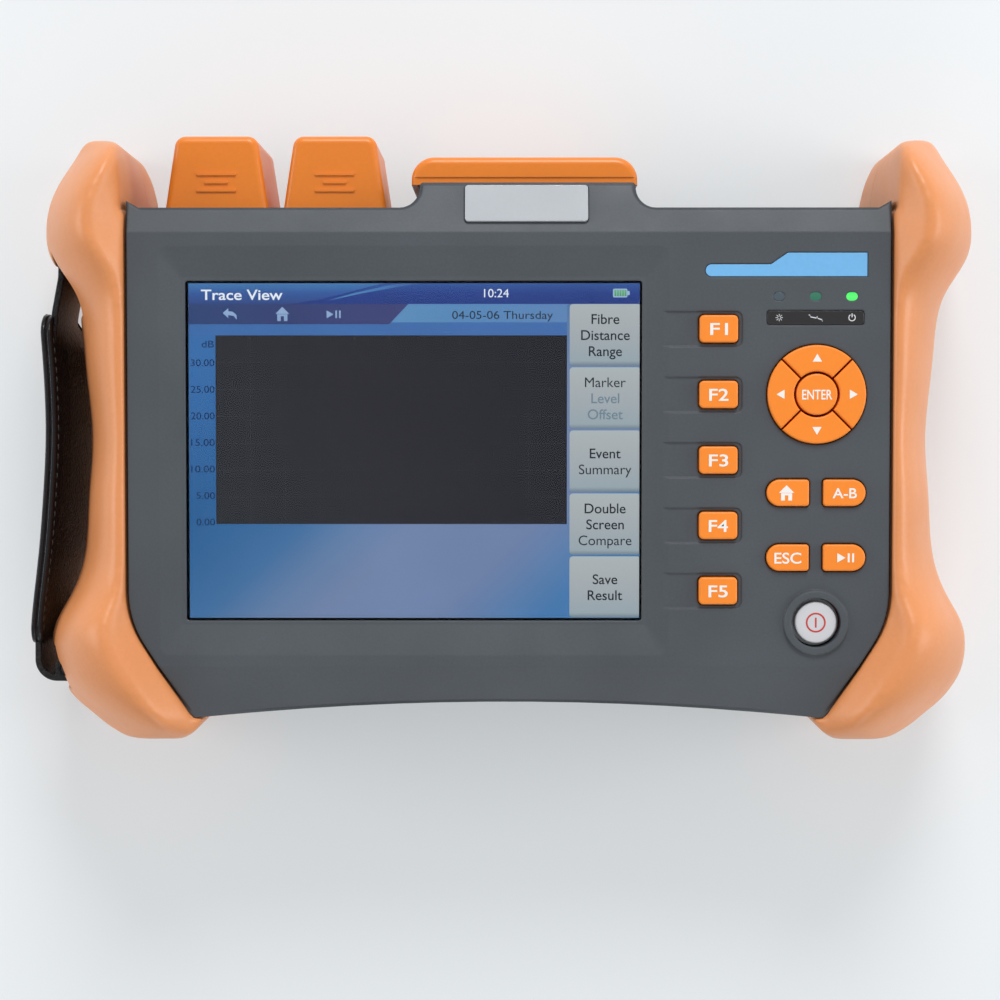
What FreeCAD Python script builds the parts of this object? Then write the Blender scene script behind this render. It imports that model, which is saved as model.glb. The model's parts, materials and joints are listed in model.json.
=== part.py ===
import FreeCAD, Part
import math
import os
import re

import Sketcher
from FreeCAD import Placement, Rotation, Vector

# Handheld optical time domain reflectometer, lying on its back.
# X runs across the instrument, +Y towards the port end, +Z out of the front face.
# The origin is the middle of the footprint, on the plane that the bumpers rest on.

os.makedirs("parts", exist_ok=True)
doc = FreeCAD.newDocument("reflectometer")
dims = doc.addObject("Spreadsheet::Sheet", "dims")

SIZES = {
    # how far a cut runs past what it cuts, and a raised form into what carries it
    "over": 1.0,
    "root": 0.5,
    "seam": 0.2,
    # moulded housing
    "panel_half": 100.0,
    "top_y": 60.0,
    "horn_wide": 3.2,
    "horn_rise": 1.8,
    "knee_y": 47.7,
    "slant_angle": 57.5,
    "knee_radius": 26.0,
    "arch_y": 69.6,
    "arch_radius": 780.0,
    "bump_left": 23.2,
    "bump_right": 33.2,
    "bump_rise": 6.5,
    "bump_fillet": 5.3,
    "bump_corner": 1.0,
    "panel_z": 66.0,
    "rim_drop": 4.0,
    "shadow_gap": 0.8,
    "split_z": 24.0,
    "back_z": 4.0,
    "wall": 2.6,
    "front_wall": 2.6,
    "back_wall": 3.0,
    "hollow_drop": 9.0,
    "gasket_in": 0.8,
    "gasket_wide": 1.0,
    "gasket_thick": 0.8,
    "top_band_y": 53.3,
    "top_band_tilt": 15.0,
    "low_band_y": 60.0,
    "low_band_tilt": 18.0,
    # screws, bosses and posts
    "boss_radius": 3.4,
    "rear_boss_radius": 4.2,
    "thread_fit": 0.05,
    "pilot_deep": 14.0,
    "screw_radius": 1.5,
    "head_room": 6.0,
    "head_radius": 2.6,
    "head_high": 1.8,
    "screw_long": 22.0,
    "screw_play": 0.2,
    "boss_far_x": 92.0,
    "boss_top_y": 50.0,
    "boss_foot_x": 80.0,
    "boss_foot_y": 60.0,
    "boss_mid_y": 61.5,
    "boss_port_x": 60.0,
    "boss_port_y": 53.5,
    "post_radius": 3.0,
    # display
    "screen_x": -24.75,
    "screen_y": -3.6,
    "screen_wide": 119.2,
    "screen_high": 88.8,
    "screen_corner": 0.8,
    "dish_wide": 132.8,
    "dish_high": 106.7,
    "dish_deep": 1.6,
    "dish_floor": 1.0,
    "dish_corner": 2.5,
    "window_margin": 2.0,
    "window_thick": 1.5,
    "seal_thick": 0.5,
    "seal_wide": 1.4,
    "module_margin": 4.5,
    "module_thick": 8.2,
    # keys
    "key_gap": 0.35,
    "key_rise": 1.2,
    "key_travel": 0.8,
    "key_edge": 0.5,
    "lip_reach": 0.7,
    "lip_thick": 0.9,
    "lip_play": 0.3,
    "fkey_x": 54.6,
    "fkey_y": 28.2,
    "fkey_pitch": 17.04,
    "fkey_wide": 10.0,
    "fkey_high": 7.1,
    "fkey_corner": 1.2,
    "slot_x": 48.8,
    "slot_wide": 24.0,
    "slot_high": 9.2,
    "slot_deep": 0.4,
    "slot_corner": 1.6,
    "pad_x": 80.1,
    "pad_y": 11.2,
    "pad_radius": 12.8,
    "pad_inner": 5.95,
    "enter_radius": 5.35,
    "sector_gap": 0.5,
    "side_left_x": 72.7,
    "side_right_x": 87.4,
    "side_upper_y": -14.4,
    "side_lower_y": -31.3,
    "side_wide": 11.0,
    "side_high": 6.9,
    "side_corner": 0.8,
    "power_x": 80.2,
    "power_y": -48.3,
    "power_radius": 5.45,
    "power_hole": 6.45,
    "power_lip": 6.2,
    "power_ring": 8.5,
    "ring_rise": 1.0,
    "power_below": 0.8,
    "mat_gap": 0.4,
    "mat_thick": 1.5,
    "mat_left": 47.0,
    "mat_right": 95.0,
    "mat_top": 34.5,
    "mat_low": -52.0,
    "mat_corner": 8.0,
    "key_board_thick": 1.6,
    # lamps and plates
    "lamp_x": 70.3,
    "lamp_pitch": 9.45,
    "lamp_y": 36.6,
    "lamp_wide": 3.0,
    "lamp_high": 2.2,
    "lamp_fit": 0.05,
    "lamp_long": 5.4,
    "plate_deep": 0.4,
    "plate_thick": 0.5,
    "legend_x": 79.75,
    "legend_y": 31.1,
    "legend_wide": 25.1,
    "legend_high": 3.6,
    "legend_corner": 0.8,
    "model_left": 51.2,
    "model_right": 93.1,
    "model_low": 41.8,
    "model_bar": 3.1,
    "model_high": 6.1,
    "model_step_x": 68.1,
    "model_step": 4.4,
    "badge_x": 4.7,
    "badge_y": 60.7,
    "badge_wide": 32.0,
    "badge_high": 9.9,
    "badge_corner": 0.9,
    "badge_deep": 0.7,
    "badge_thick": 1.5,
    "plate_fit": 0.15,
    # port end
    "port_z": 34.6,
    "port_left_x": -77.7,
    "port_right_x": -46.2,
    "port_hole": 5.2,
    "port_fit": 0.1,
    "flange_radius": 7.5,
    "flange_thick": 1.8,
    "barrel_radius": 4.0,
    "barrel_long": 9.5,
    "ferrule_bore": 1.25,
    "adapter_deep": 9.0,
    "cover_base": 27.6,
    "cover_top": 21.6,
    "cover_reach": 19.7,
    "cover_low_z": 15.0,
    "cover_high_z": 52.0,
    "cover_wall": 2.0,
    "cover_corner": 3.0,
    "cover_edge": 1.9,
    "cover_gap": 0.3,
    "rib_wide": 10.6,
    "rib_short": 6.3,
    "rib_thick": 0.7,
    "rib_rise": 0.4,
    "rib_y": 5.2,
    "rib_pitch": 2.15,
    "knuckle_radius": 1.6,
    "hinge_pin": 0.8,
    "hinge_fit": 0.05,
    "hinge_out": 1.9,
    "hinge_drop": 2.0,
    "barrel_half": 6.0,
    "lug_wide": 3.5,
    "lug_gap": 0.3,
    "flap_left": 25.7,
    "flap_right": 34.2,
    "flap_reach": 7.4,
    "flap_low_z": 10.4,
    "flap_high_z": 54.0,
    "flap_wall": 1.6,
    "flap_corner": 6.0,
    "tab_wide": 10.7,
    "lip_wide": 2.0,
    "lip_drop": 0.35,
    "flap_slit": 0.5,
    "slit_deep": 3.0,
    "flap_half_bump": 26.5,
    "flap_hinge_half": 18.0,
    # boards and sockets
    "board_half": 75.0,
    "board_low": 57.0,
    "board_corner": 2.0,
    "board_top": 50.0,
    "board_tab_left": 22.0,
    "board_tab_right": 32.0,
    "board_tab_y": 63.0,
    "board_z": 26.0,
    "board_thick": 1.6,
    "post_x": 70.0,
    "post_low_y": 52.0,
    "post_top_y": 45.0,
    "module_left": -87.0,
    "module_right": -34.0,
    "module_low": 8.0,
    "module_high": 14.0,
    "ethernet_x": -10.5,
    "ethernet_wide": 16.0,
    "ethernet_high": 13.5,
    "ethernet_long": 21.0,
    "usb_x": 8.5,
    "usb_wide": 14.5,
    "usb_high": 7.0,
    "usb_long": 17.0,
    "power_jack_x": 24.5,
    "jack_wide": 9.0,
    "jack_high": 11.0,
    "jack_long": 14.0,
    "jack_mouth": 3.2,
    "jack_pin": 1.0,
    "socket_wall": 0.9,
    "socket_corner": 0.6,
    "socket_back": 3.0,
    "tongue_rise": 0.62,
    "tongue_share": 0.72,
    "tongue_thick": 1.2,
    "socket_fit": 0.3,
    # battery and back
    "battery_wide": 92.0,
    "battery_high": 58.0,
    "battery_thick": 16.8,
    "battery_y": -8.0,
    "battery_play": 0.5,
    "door_wide": 120.0,
    "door_high": 64.0,
    "door_thick": 1.9,
    "door_corner": 4.0,
    "door_screw_x": 54.0,
    "door_boss_high": 9.0,
    "door_screw_long": 8.0,
    "door_head_high": 1.2,
    "door_play": 0.3,
    "door_gap": 0.1,
    "stand_x": 67.5,
    "stand_wide": 8.0,
    "stand_thick": 4.0,
    "stand_hinge_y": 42.0,
    "stand_low": 54.0,
    "stand_bar": 8.0,
    "stand_play": 0.4,
    "stand_pin": 1.0,
    "stand_corner": 6.0,
    "notch_wide": 22.0,
    "notch_high": 6.0,
    "notch_corner": 2.5,
    "notch_deep": 2.0,
    # bumpers
    "bumper_fit": 0.1,
    "bumper_top": 76.0,
    "bumper_back_round": 4.0,
    "bumper_low": 82.2,
    "bumper_high": 80.9,
    "bumper_widest_z": 36.0,
    "bumper_taper": 0.0017,
    "plan_spill": 0.009,
    "reach_margin": 1.0,
    "blank_depth": 22.0,
    "blank_low": 70.0,
    "section_spare": 5.0,
    "roll_reach": 15.0,
    "ear_inner": 100.4,
    "ear_inner_y": 76.9,
    # hand strap
    "strap_thick": 1.8,
    "strap_low_z": 17.0,
    "strap_high_z": 45.0,
    "sleeve_thick": 3.0,
    "sleeve_low_z": 11.0,
    "sleeve_high_z": 49.0,
    "sleeve_fit": 0.1,
    "sleeve_top_y": 33.0,
    "sleeve_low_y": -56.5,
    "bar_radius": 1.5,
    "bar_fit": 0.1,
    "bar_bury": 4.0,
    "slot_room": 1.4,
}

for row, (alias, number) in enumerate(SIZES.items(), 1):
    dims.set("A%d" % row, alias)
    dims.set("B%d" % row, str(number))
    dims.setAlias("B%d" % row, alias)
doc.recompute()


# ---------------------------------------------------------------- formulas

def cells(text):
    """Put the sheet's name before each size in a formula."""
    def named(word):
        return "dims." + word.group() if word.group() in SIZES else word.group()
    return re.sub(r"[a-z]\w*", named, str(text))


def val(text):
    """The value of a formula written with the sheet's sizes."""
    return float(dims.evalExpression(cells(text)))


# ---------------------------------------------------------------- features

def origin_plane(body, role):
    for feature in body.Origin.OriginFeatures:
        if feature.Role == role:
            return feature
    raise ValueError(role)


def new_body(label, x="0", y="0", z="0"):
    body = doc.addObject("PartDesign::Body", label)
    body.Label = label
    for axis, formula in zip("xyz", (x, y, z)):
        body.setExpression("Placement.Base." + axis, cells(formula))
    return body


def new_sketch(body, name, x="0", y="0", lift="0", role="XY_Plane", tilt=None):
    """A sketch on an origin plane, moved along that plane and lifted off it."""
    sketch = body.newObject("Sketcher::SketchObject", name)
    sketch.AttachmentSupport = [(origin_plane(body, role), "")]
    sketch.MapMode = "FlatFace"
    if tilt is not None:
        sketch.AttachmentOffset = Placement(Vector(), Rotation(Vector(1, 0, 0), val(tilt)))
    for axis, formula in zip("xyz", (x, y, lift)):
        sketch.setExpression("AttachmentOffset.Base." + axis, cells(formula))
    return sketch


def bound(sketch, name, formula, *constraint):
    """Add a dimension and bind it to a formula of the sheet."""
    index = sketch.addConstraint(Sketcher.Constraint(*constraint, val(formula)))
    sketch.renameConstraint(index, name)
    sketch.setExpression("Constraints." + name, cells(formula))


def rectangle(sketch, wide, high, corner=None):
    """A rectangle about the sketch's origin, with rounded corners where asked."""
    w = val(wide) / 2
    h = val(high) / 2
    r = val(corner) if corner else 0.0
    lines = [
        ((r - w, -h), (w - r, -h)), ((w, r - h), (w, h - r)),
        ((w - r, h), (r - w, h)), ((-w, h - r), (-w, r - h)),
    ]
    for start, end in lines:
        sketch.addGeometry(Part.LineSegment(Vector(*start, 0), Vector(*end, 0)))
    if corner:
        centres = [(w - r, r - h), (w - r, h - r), (r - w, h - r), (r - w, r - h)]
        for k, centre in enumerate(centres):
            ring = Part.Circle(Vector(*centre, 0), Vector(0, 0, 1), r)
            turn = math.pi / 2 * (k - 1)
            sketch.addGeometry(Part.ArcOfCircle(ring, turn, turn + math.pi / 2))
            sketch.addConstraint(Sketcher.Constraint("Tangent", k, 2, 4 + k, 1))
            sketch.addConstraint(Sketcher.Constraint("Tangent", 4 + k, 2, (k + 1) % 4, 1))
        for k in (5, 6, 7):
            sketch.addConstraint(Sketcher.Constraint("Equal", 4, k))
    else:
        for k in range(4):
            sketch.addConstraint(Sketcher.Constraint("Coincident", k, 2, (k + 1) % 4, 1))
    sketch.addConstraint(Sketcher.Constraint("Horizontal", 0))
    sketch.addConstraint(Sketcher.Constraint("Horizontal", 2))
    sketch.addConstraint(Sketcher.Constraint("Vertical", 1))
    sketch.addConstraint(Sketcher.Constraint("Vertical", 3))
    sketch.addConstraint(Sketcher.Constraint("Symmetric", 0, 1, 2, 1, -1, 1))
    bound(sketch, "wide", wide, "DistanceX", 3, 1, 1, 1)
    bound(sketch, "high", high, "DistanceY", 0, 1, 2, 1)
    if corner:
        bound(sketch, "corner", corner, "Radius", 4)


def circle(sketch, radius):
    """A circle about the sketch's origin."""
    index = sketch.addGeometry(Part.Circle(Vector(), Vector(0, 0, 1), val(radius)))
    sketch.addConstraint(Sketcher.Constraint("Coincident", index, 3, -1, 1))
    bound(sketch, "radius%d" % index, radius, "Radius", index)


def circles(sketch, radius, places):
    """Equal circles about places given in the sketch's own plane."""
    for x, y in places:
        sketch.addGeometry(Part.Circle(Vector(x, y, 0), Vector(0, 0, 1), val(radius)))
        last = sketch.GeometryCount - 1
        if last:
            sketch.addConstraint(Sketcher.Constraint("Equal", 0, last))
    bound(sketch, "radius", radius, "Radius", 0)


def turned(corners):
    """Lines and tangent arcs round a closed polygon of (x, y, radius) corners."""
    count = len(corners)
    trims = []
    for k, (x, y, radius) in enumerate(corners):
        here = Vector(x, y, 0)
        back = Vector(*corners[k - 1][:2], 0) - here
        ahead = Vector(*corners[(k + 1) % count][:2], 0) - here
        back.normalize()
        ahead.normalize()
        half = back.getAngle(ahead) / 2
        trim = radius / math.tan(half)
        middle = (back + ahead).normalize() if radius else Vector()
        peak = here + middle * (radius / math.sin(half) - radius)
        trims.append((here + back * trim, peak, here + ahead * trim, radius))
    pieces = []
    for k, (start, peak, end, radius) in enumerate(trims):
        if radius:
            pieces.append(Part.Arc(start, peak, end))
        following = trims[(k + 1) % count][0]
        if (following - end).Length > 1e-6:
            pieces.append(Part.LineSegment(end, following))
    return pieces


def draw(sketch, pieces):
    sketch.addGeometry(pieces, False)


def extrude(kind, body, sketch, length, reverse=False, both=False, name=None):
    feature = body.newObject("PartDesign::" + kind, name or sketch.Name + kind)
    feature.Profile = sketch
    feature.setExpression("Length", cells(length))
    feature.Reversed = reverse
    if both:
        feature.SideType = "Symmetric"
    return feature


def pad(body, sketch, length, **more):
    return extrude("Pad", body, sketch, length, **more)


def pocket(body, sketch, length, **more):
    return extrude("Pocket", body, sketch, length, **more)


def outer_edges(feature, test):
    """Names of a feature's edges whose middle passes a test."""
    doc.recompute()
    names = []
    for k, edge in enumerate(feature.Shape.Edges, 1):
        middle = edge.valueAt((edge.FirstParameter + edge.LastParameter) / 2)
        if test(edge, middle):
            names.append("Edge%d" % k)
    return names


def fillet(body, feature, radius, test, name):
    result = body.newObject("PartDesign::Fillet", name)
    result.Base = (feature, outer_edges(feature, test))
    result.setExpression("Radius", cells(radius))
    return result


def at_height(z, tolerance=1e-4):
    def test(edge, middle):
        return all(abs(vertex.Z - z) < tolerance for vertex in edge.Vertexes)
    return test


def block(label, x, y, z, wide, high, thick, name=None):
    """A plain box, given by its middle in X and Y and its foot in Z."""
    box = doc.addObject("Part::Box", name or label)
    if not name:
        box.Label = label
    box.setExpression("Length", cells(wide))
    box.setExpression("Width", cells(high))
    box.setExpression("Height", cells(thick))
    box.setExpression("Placement.Base.x", cells("(%s) - (%s) / 2" % (x, wide)))
    box.setExpression("Placement.Base.y", cells("(%s) - (%s) / 2" % (y, high)))
    box.setExpression("Placement.Base.z", cells(z))
    return box


def solid_feature(label, shape, lift=0.0):
    feature = doc.addObject("Part::Feature", label)
    feature.Label = label
    feature.Shape = shape
    feature.Placement = Placement(Vector(0, 0, lift), Rotation())
    return feature


# ---------------------------------------------------------------- shared outlines

def slant_x(y, grow=0.0):
    """Where the housing's slanted side, moved out by grow, is at a distance below the middle."""
    angle = math.radians(val("slant_angle"))
    return val("panel_half") + (grow - (y - val("knee_y")) * math.cos(angle)) / math.sin(angle)


def arch(grow=0.0):
    """Centre and radius of the housing's hollow bottom edge, moved out by grow."""
    radius = val("arch_radius")
    return Vector(0, -val("arch_y") - radius, 0), radius - grow


def foot(grow=0.0):
    """The corner where the slanted side meets the bottom edge."""
    centre, radius = arch(grow)
    low = val("knee_y")
    high = 2 * val("arch_y")
    while high - low > 1e-9:
        middle = (low + high) / 2
        if (Vector(slant_x(middle, grow), -middle, 0) - centre).Length > radius:
            low = middle
        else:
            high = middle
    return Vector(slant_x(low, grow), -low, 0)


def outline(grow=0.0, horns=True):
    """The housing's plan outline moved out by grow, as lines and arcs."""
    half = val("panel_half") + grow
    top = val("top_y") + grow
    rise = val("horn_rise") if horns else 0.0
    bump_top = top + val("bump_rise")
    left = -val("bump_left") - grow
    right = val("bump_right") + grow
    hollow = val("bump_fillet") - grow
    corner = max(val("bump_corner") + grow, 0.0)
    knee = val("knee_y")
    angle = math.radians(val("slant_angle"))
    knee_down = knee - grow * (1 - math.sin(angle)) / math.cos(angle)
    bend = val("knee_radius") + grow
    low = foot(grow)
    side = [(half, -knee_down, bend)]
    if horns:
        side += [(half, top + rise, 0.0), (half - val("horn_wide"), top, 0.0)]
    else:
        side += [(half, top, 0.0)]
    bump = [(right, top, hollow), (right, bump_top, corner),
            (left, bump_top, corner), (left, top, hollow)]
    other = [(-x, y, r) for x, y, r in reversed(side)]
    corners = [(low.x, low.y, 0.0)] + side + bump + other + [(-low.x, low.y, 0.0)]
    pieces = turned(corners)
    centre, radius = arch(grow)
    bottom = Part.Arc(Vector(-low.x, low.y, 0), centre + Vector(0, radius, 0), low)
    straight = (Vector(-low.x, low.y, 0), low)
    kept = []
    for piece in pieces:
        ends = {(round(p.x, 5), round(p.y, 5)) for p in (piece.StartPoint, piece.EndPoint)}
        if ends != {(round(p.x, 5), round(p.y, 5)) for p in straight}:
            kept.append(piece)
    return kept + [bottom]


def boss_places():
    far = val("boss_far_x")
    near = val("boss_foot_x")
    return [
        (far, val("boss_top_y")), (-far, val("boss_top_y")),
        (near, -val("boss_foot_y")), (-near, -val("boss_foot_y")),
        (0.0, -val("boss_mid_y")), (val("boss_port_x"), val("boss_port_y")),
    ]


def band_z(y):
    """Height of the sloping top band at a distance up the front."""
    return "panel_z - (%s - top_band_y) * tan(top_band_tilt)" % y


def side_key(outer_right):
    """A key with one half-round end, drawn about its middle."""
    w = val("side_wide") / 2
    h = val("side_high") / 2
    r = val("side_corner")
    corners = [(-w, -h, r), (w, -h, h * 0.999), (w, h, h * 0.999), (-w, h, r)]
    if outer_right:
        return corners
    return [(-x, y, radius) for x, y, radius in corners]


def grown(corners, grow):
    """A box-like outline of (x, y, radius) corners, moved out by grow."""
    result = []
    for x, y, radius in corners:
        result.append((x + math.copysign(grow, x), y + math.copysign(grow, y), radius + grow))
    return result


def sector(turn, inner, outer, gap):
    """One quarter of a ring about +X turned by an angle, with half the gap left each side."""
    first = math.asin(gap / 2 / outer)
    second = math.asin(gap / 2 / inner)
    quarter = math.pi / 4

    def at(radius, angle):
        return Vector(radius * math.cos(angle + turn), radius * math.sin(angle + turn), 0)
    outer_low = at(outer, first - quarter)
    outer_high = at(outer, quarter - first)
    inner_low = at(inner, second - quarter)
    inner_high = at(inner, quarter - second)
    return [
        Part.Arc(outer_low, at(outer, 0), outer_high),
        Part.LineSegment(outer_high, inner_high),
        Part.Arc(inner_high, at(inner, 0), inner_low),
        Part.LineSegment(inner_low, outer_low),
    ]


def model_plate_corners(grow=0.0):
    """The stepped name plate's outline."""
    left = val("model_left") - grow
    right = val("model_right") + grow
    low = val("model_low") - grow
    bar = low + val("model_bar") + 2 * grow
    top = low + val("model_high") + 2 * grow
    step = val("model_step_x")
    round_end = val("model_bar") * 0.49 + grow
    return [
        (left, low, round_end), (right, low, 0.0), (right, top, 0.0),
        (step + val("model_step"), top, 0.0), (step, bar, 0.0), (left, bar, round_end),
    ]


def cover_corners(inset=0.0):
    """A port cover's plan outline about its middle at the housing wall."""
    base = val("cover_base") / 2 - inset
    top = val("cover_top") / 2 - inset
    reach = val("cover_reach") - inset
    low = 0.0 if not inset else -1.0
    radius = val("cover_corner") - inset
    return [(base, low, 0.0), (top, reach, radius), (-top, reach, radius), (-base, low, 0.0)]


# ---------------------------------------------------------------- front housing

def front_housing():
    body = new_body("front_housing")
    skirt = new_sketch(body, "front_skirt", lift="split_z")
    draw(skirt, outline())
    pad(body, skirt, "panel_z - rim_drop - split_z")
    rim = new_sketch(body, "front_rim", lift="panel_z - rim_drop")
    draw(rim, outline(-val("shadow_gap")))
    pad(body, rim, "rim_drop")

    bands = new_sketch(body, "front_bands", role="YZ_Plane")
    reach = val("panel_half")
    for edge, way, tilt in (("top_band_y", 1, "top_band_tilt"), ("low_band_y", -1, "low_band_tilt")):
        crease = way * val(edge)
        face = val("panel_z")
        far = crease + way * reach
        drop = reach * math.tan(math.radians(val(tilt)))
        draw(bands, turned([(crease, face, 0.0), (far, face - drop, 0.0), (far, face + 1, 0.0),
                            (crease, face + 1, 0.0)]))
    pocket(body, bands, "4 * panel_half", both=True)

    hollow = new_sketch(body, "front_hollow", lift="split_z")
    draw(hollow, outline(-val("wall"), horns=False))
    pocket(body, hollow, "panel_z - hollow_drop - split_z", reverse=True)
    ceiling = new_sketch(body, "front_ceiling", lift="split_z")
    half = val("panel_half") - val("wall")
    top = val("top_band_y") - val("wall")
    low = val("low_band_y") - val("wall")
    foot_x = slant_x(low, -val("wall"))
    knee = val("knee_y") - val("knee_radius") / 4
    draw(ceiling, turned([(foot_x, -low, 0.0), (half, -knee, 0.0), (half, top, 0.0),
                          (-half, top, 0.0), (-half, -knee, 0.0), (-foot_x, -low, 0.0)]))
    pocket(body, ceiling, "panel_z - front_wall - split_z", reverse=True)

    bosses = new_sketch(body, "front_bosses", lift="split_z")
    circles(bosses, "boss_radius", boss_places())
    pad(body, bosses, "panel_z - front_wall - split_z + seam")
    pilots = new_sketch(body, "front_pilots", lift="split_z")
    circles(pilots, "screw_radius + thread_fit", boss_places())
    pocket(body, pilots, "pilot_deep", reverse=True)

    dish = new_sketch(body, "dish_edge", "screen_x", "screen_y", "panel_z")
    rectangle(dish, "dish_wide", "dish_high", "dish_corner")
    floor = new_sketch(body, "dish_floor_edge", "screen_x", "screen_y", "panel_z - dish_deep")
    rectangle(floor, "screen_wide + 2 * dish_floor", "screen_high + 2 * dish_floor", "screen_corner")
    bevel = body.newObject("PartDesign::SubtractiveLoft", "screen_bevel")
    bevel.Profile = dish
    bevel.Sections = [floor]
    bevel.Ruled = True
    screen = new_sketch(body, "screen_opening", "screen_x", "screen_y", "panel_z")
    rectangle(screen, "screen_wide", "screen_high", "screen_corner")
    pocket(body, screen, "front_wall + over")

    slot = new_sketch(body, "key_slot", "slot_x", "fkey_y", "panel_z")
    rectangle(slot, "slot_wide", "slot_high", "slot_corner")
    slot_cut = pocket(body, slot, "slot_deep")
    column(body, slot_cut, "key_slots")
    window = new_sketch(body, "key_window", "fkey_x", "fkey_y", "panel_z")
    rectangle(window, "fkey_wide + 2 * key_gap", "fkey_high + 2 * key_gap", "fkey_corner + key_gap")
    column(body, pocket(body, window, "front_wall + over"), "key_windows")

    ring = new_sketch(body, "pad_window", "pad_x", "pad_y", "panel_z")
    circle(ring, "pad_radius + key_gap")
    pocket(body, ring, "front_wall + over")
    for name, x, y, right in SIDE_KEYS:
        hole = new_sketch(body, name + "_window", x, y, "panel_z")
        draw(hole, turned(grown(side_key(right), val("key_gap"))))
        pocket(body, hole, "front_wall + over")

    collar = new_sketch(body, "power_collar", "power_x", "power_y", "panel_z - root")
    circle(collar, "power_ring")
    collar_pad = pad(body, collar, "ring_rise + root")
    fillet(body, collar_pad, "ring_rise * 0.45", at_height(val("panel_z + ring_rise")), "collar_edge")
    bore = new_sketch(body, "power_bore", "power_x", "power_y", "panel_z + ring_rise")
    circle(bore, "power_hole")
    pocket(body, bore, "front_wall + ring_rise + over")

    for name, place in LAMPS:
        hole = new_sketch(body, name + "_hole", place, "lamp_y", "panel_z")
        rectangle(hole, "lamp_wide", "lamp_high", "lamp_high * 0.499")
        pocket(body, hole, "front_wall + over")
    legend = new_sketch(body, "legend_seat", "legend_x", "legend_y", "panel_z")
    rectangle(legend, "legend_wide + 2 * plate_fit", "legend_high + 2 * plate_fit", "legend_corner")
    pocket(body, legend, "plate_deep")
    model = new_sketch(body, "model_seat", lift="panel_z")
    draw(model, turned(model_plate_corners(val("plate_fit"))))
    pocket(body, model, "plate_deep")
    badge = new_sketch(body, "badge_seat", "badge_x", "badge_y", band_z("badge_y"),
                       tilt="-top_band_tilt")
    rectangle(badge, "badge_wide + 2 * plate_fit", "badge_high + 2 * plate_fit", "badge_corner")
    pocket(body, badge, "badge_deep")

    for name, x in (("left", "port_left_x"), ("right", "port_right_x")):
        port = new_sketch(body, name + "_port_hole", x, "port_z", "-top_y - over", role="XZ_Plane")
        circle(port, "port_hole")
        pocket(body, port, "wall + 2 * over", reverse=True)
    for name, x, wide, high, z in SOCKETS:
        hole = new_sketch(body, name + "_window", x, z + " + %s / 2" % high,
                          "-top_y - bump_rise - over", role="XZ_Plane")
        rectangle(hole, wide + " + 2 * socket_fit", high + " + 2 * socket_fit")
        pocket(body, hole, "wall + 2 * over", reverse=True)
    return body


def column(body, cut, name):
    """Repeat a key's cut down the column of function keys."""
    doc.recompute()
    pattern = body.newObject("PartDesign::LinearPattern", name)
    pattern.Originals = [cut]
    pattern.Direction = (origin_plane(body, "Y_Axis"), [""])
    pattern.Reversed = True
    pattern.Mode = "Spacing"
    pattern.setExpression("Offset", cells("fkey_pitch"))
    pattern.Occurrences = len(FKEYS)
    body.Tip = pattern
    return pattern


FKEYS = ["f1_key", "f2_key", "f3_key", "f4_key", "f5_key"]
SIDE_KEYS = [
    ("home_key", "side_left_x", "side_upper_y", False),
    ("ab_key", "side_right_x", "side_upper_y", True),
    ("esc_key", "side_left_x", "side_lower_y", False),
    ("run_key", "side_right_x", "side_lower_y", True),
]
ARROWS = [("right_key", 0), ("up_key", 1), ("left_key", 2), ("down_key", 3)]
LAMPS = [
    ("fault_lamp", "lamp_x"),
    ("test_lamp", "lamp_x + lamp_pitch"),
    ("power_lamp", "lamp_x + 2 * lamp_pitch"),
]
SOCKET_Z = "board_z + board_thick"
SOCKETS = [
    ("ethernet", "ethernet_x", "ethernet_wide", "ethernet_high", SOCKET_Z),
    ("usb", "usb_x", "usb_wide", "usb_high", SOCKET_Z),
    ("jack", "power_jack_x", "jack_wide", "jack_high", SOCKET_Z),
]


# ---------------------------------------------------------------- rear housing

def stand_corners(grow=0.0):
    """The U-shaped stand's outer outline, legs up and cross-bar down."""
    half = val("stand_x") + val("stand_wide") / 2 + grow
    inner = val("stand_x") - val("stand_wide") / 2 - grow
    low = -val("stand_low") - grow
    bar = -val("stand_low") + val("stand_bar") + grow
    top = val("stand_hinge_y")
    round_out = val("stand_corner") + grow
    round_in = val("stand_corner") / 2 - grow
    return [(half, top, 0.0), (inner, top, 0.0), (inner, bar, round_in), (-inner, bar, round_in),
            (-inner, top, 0.0), (-half, top, 0.0), (-half, low, round_out), (half, low, round_out)]


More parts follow.
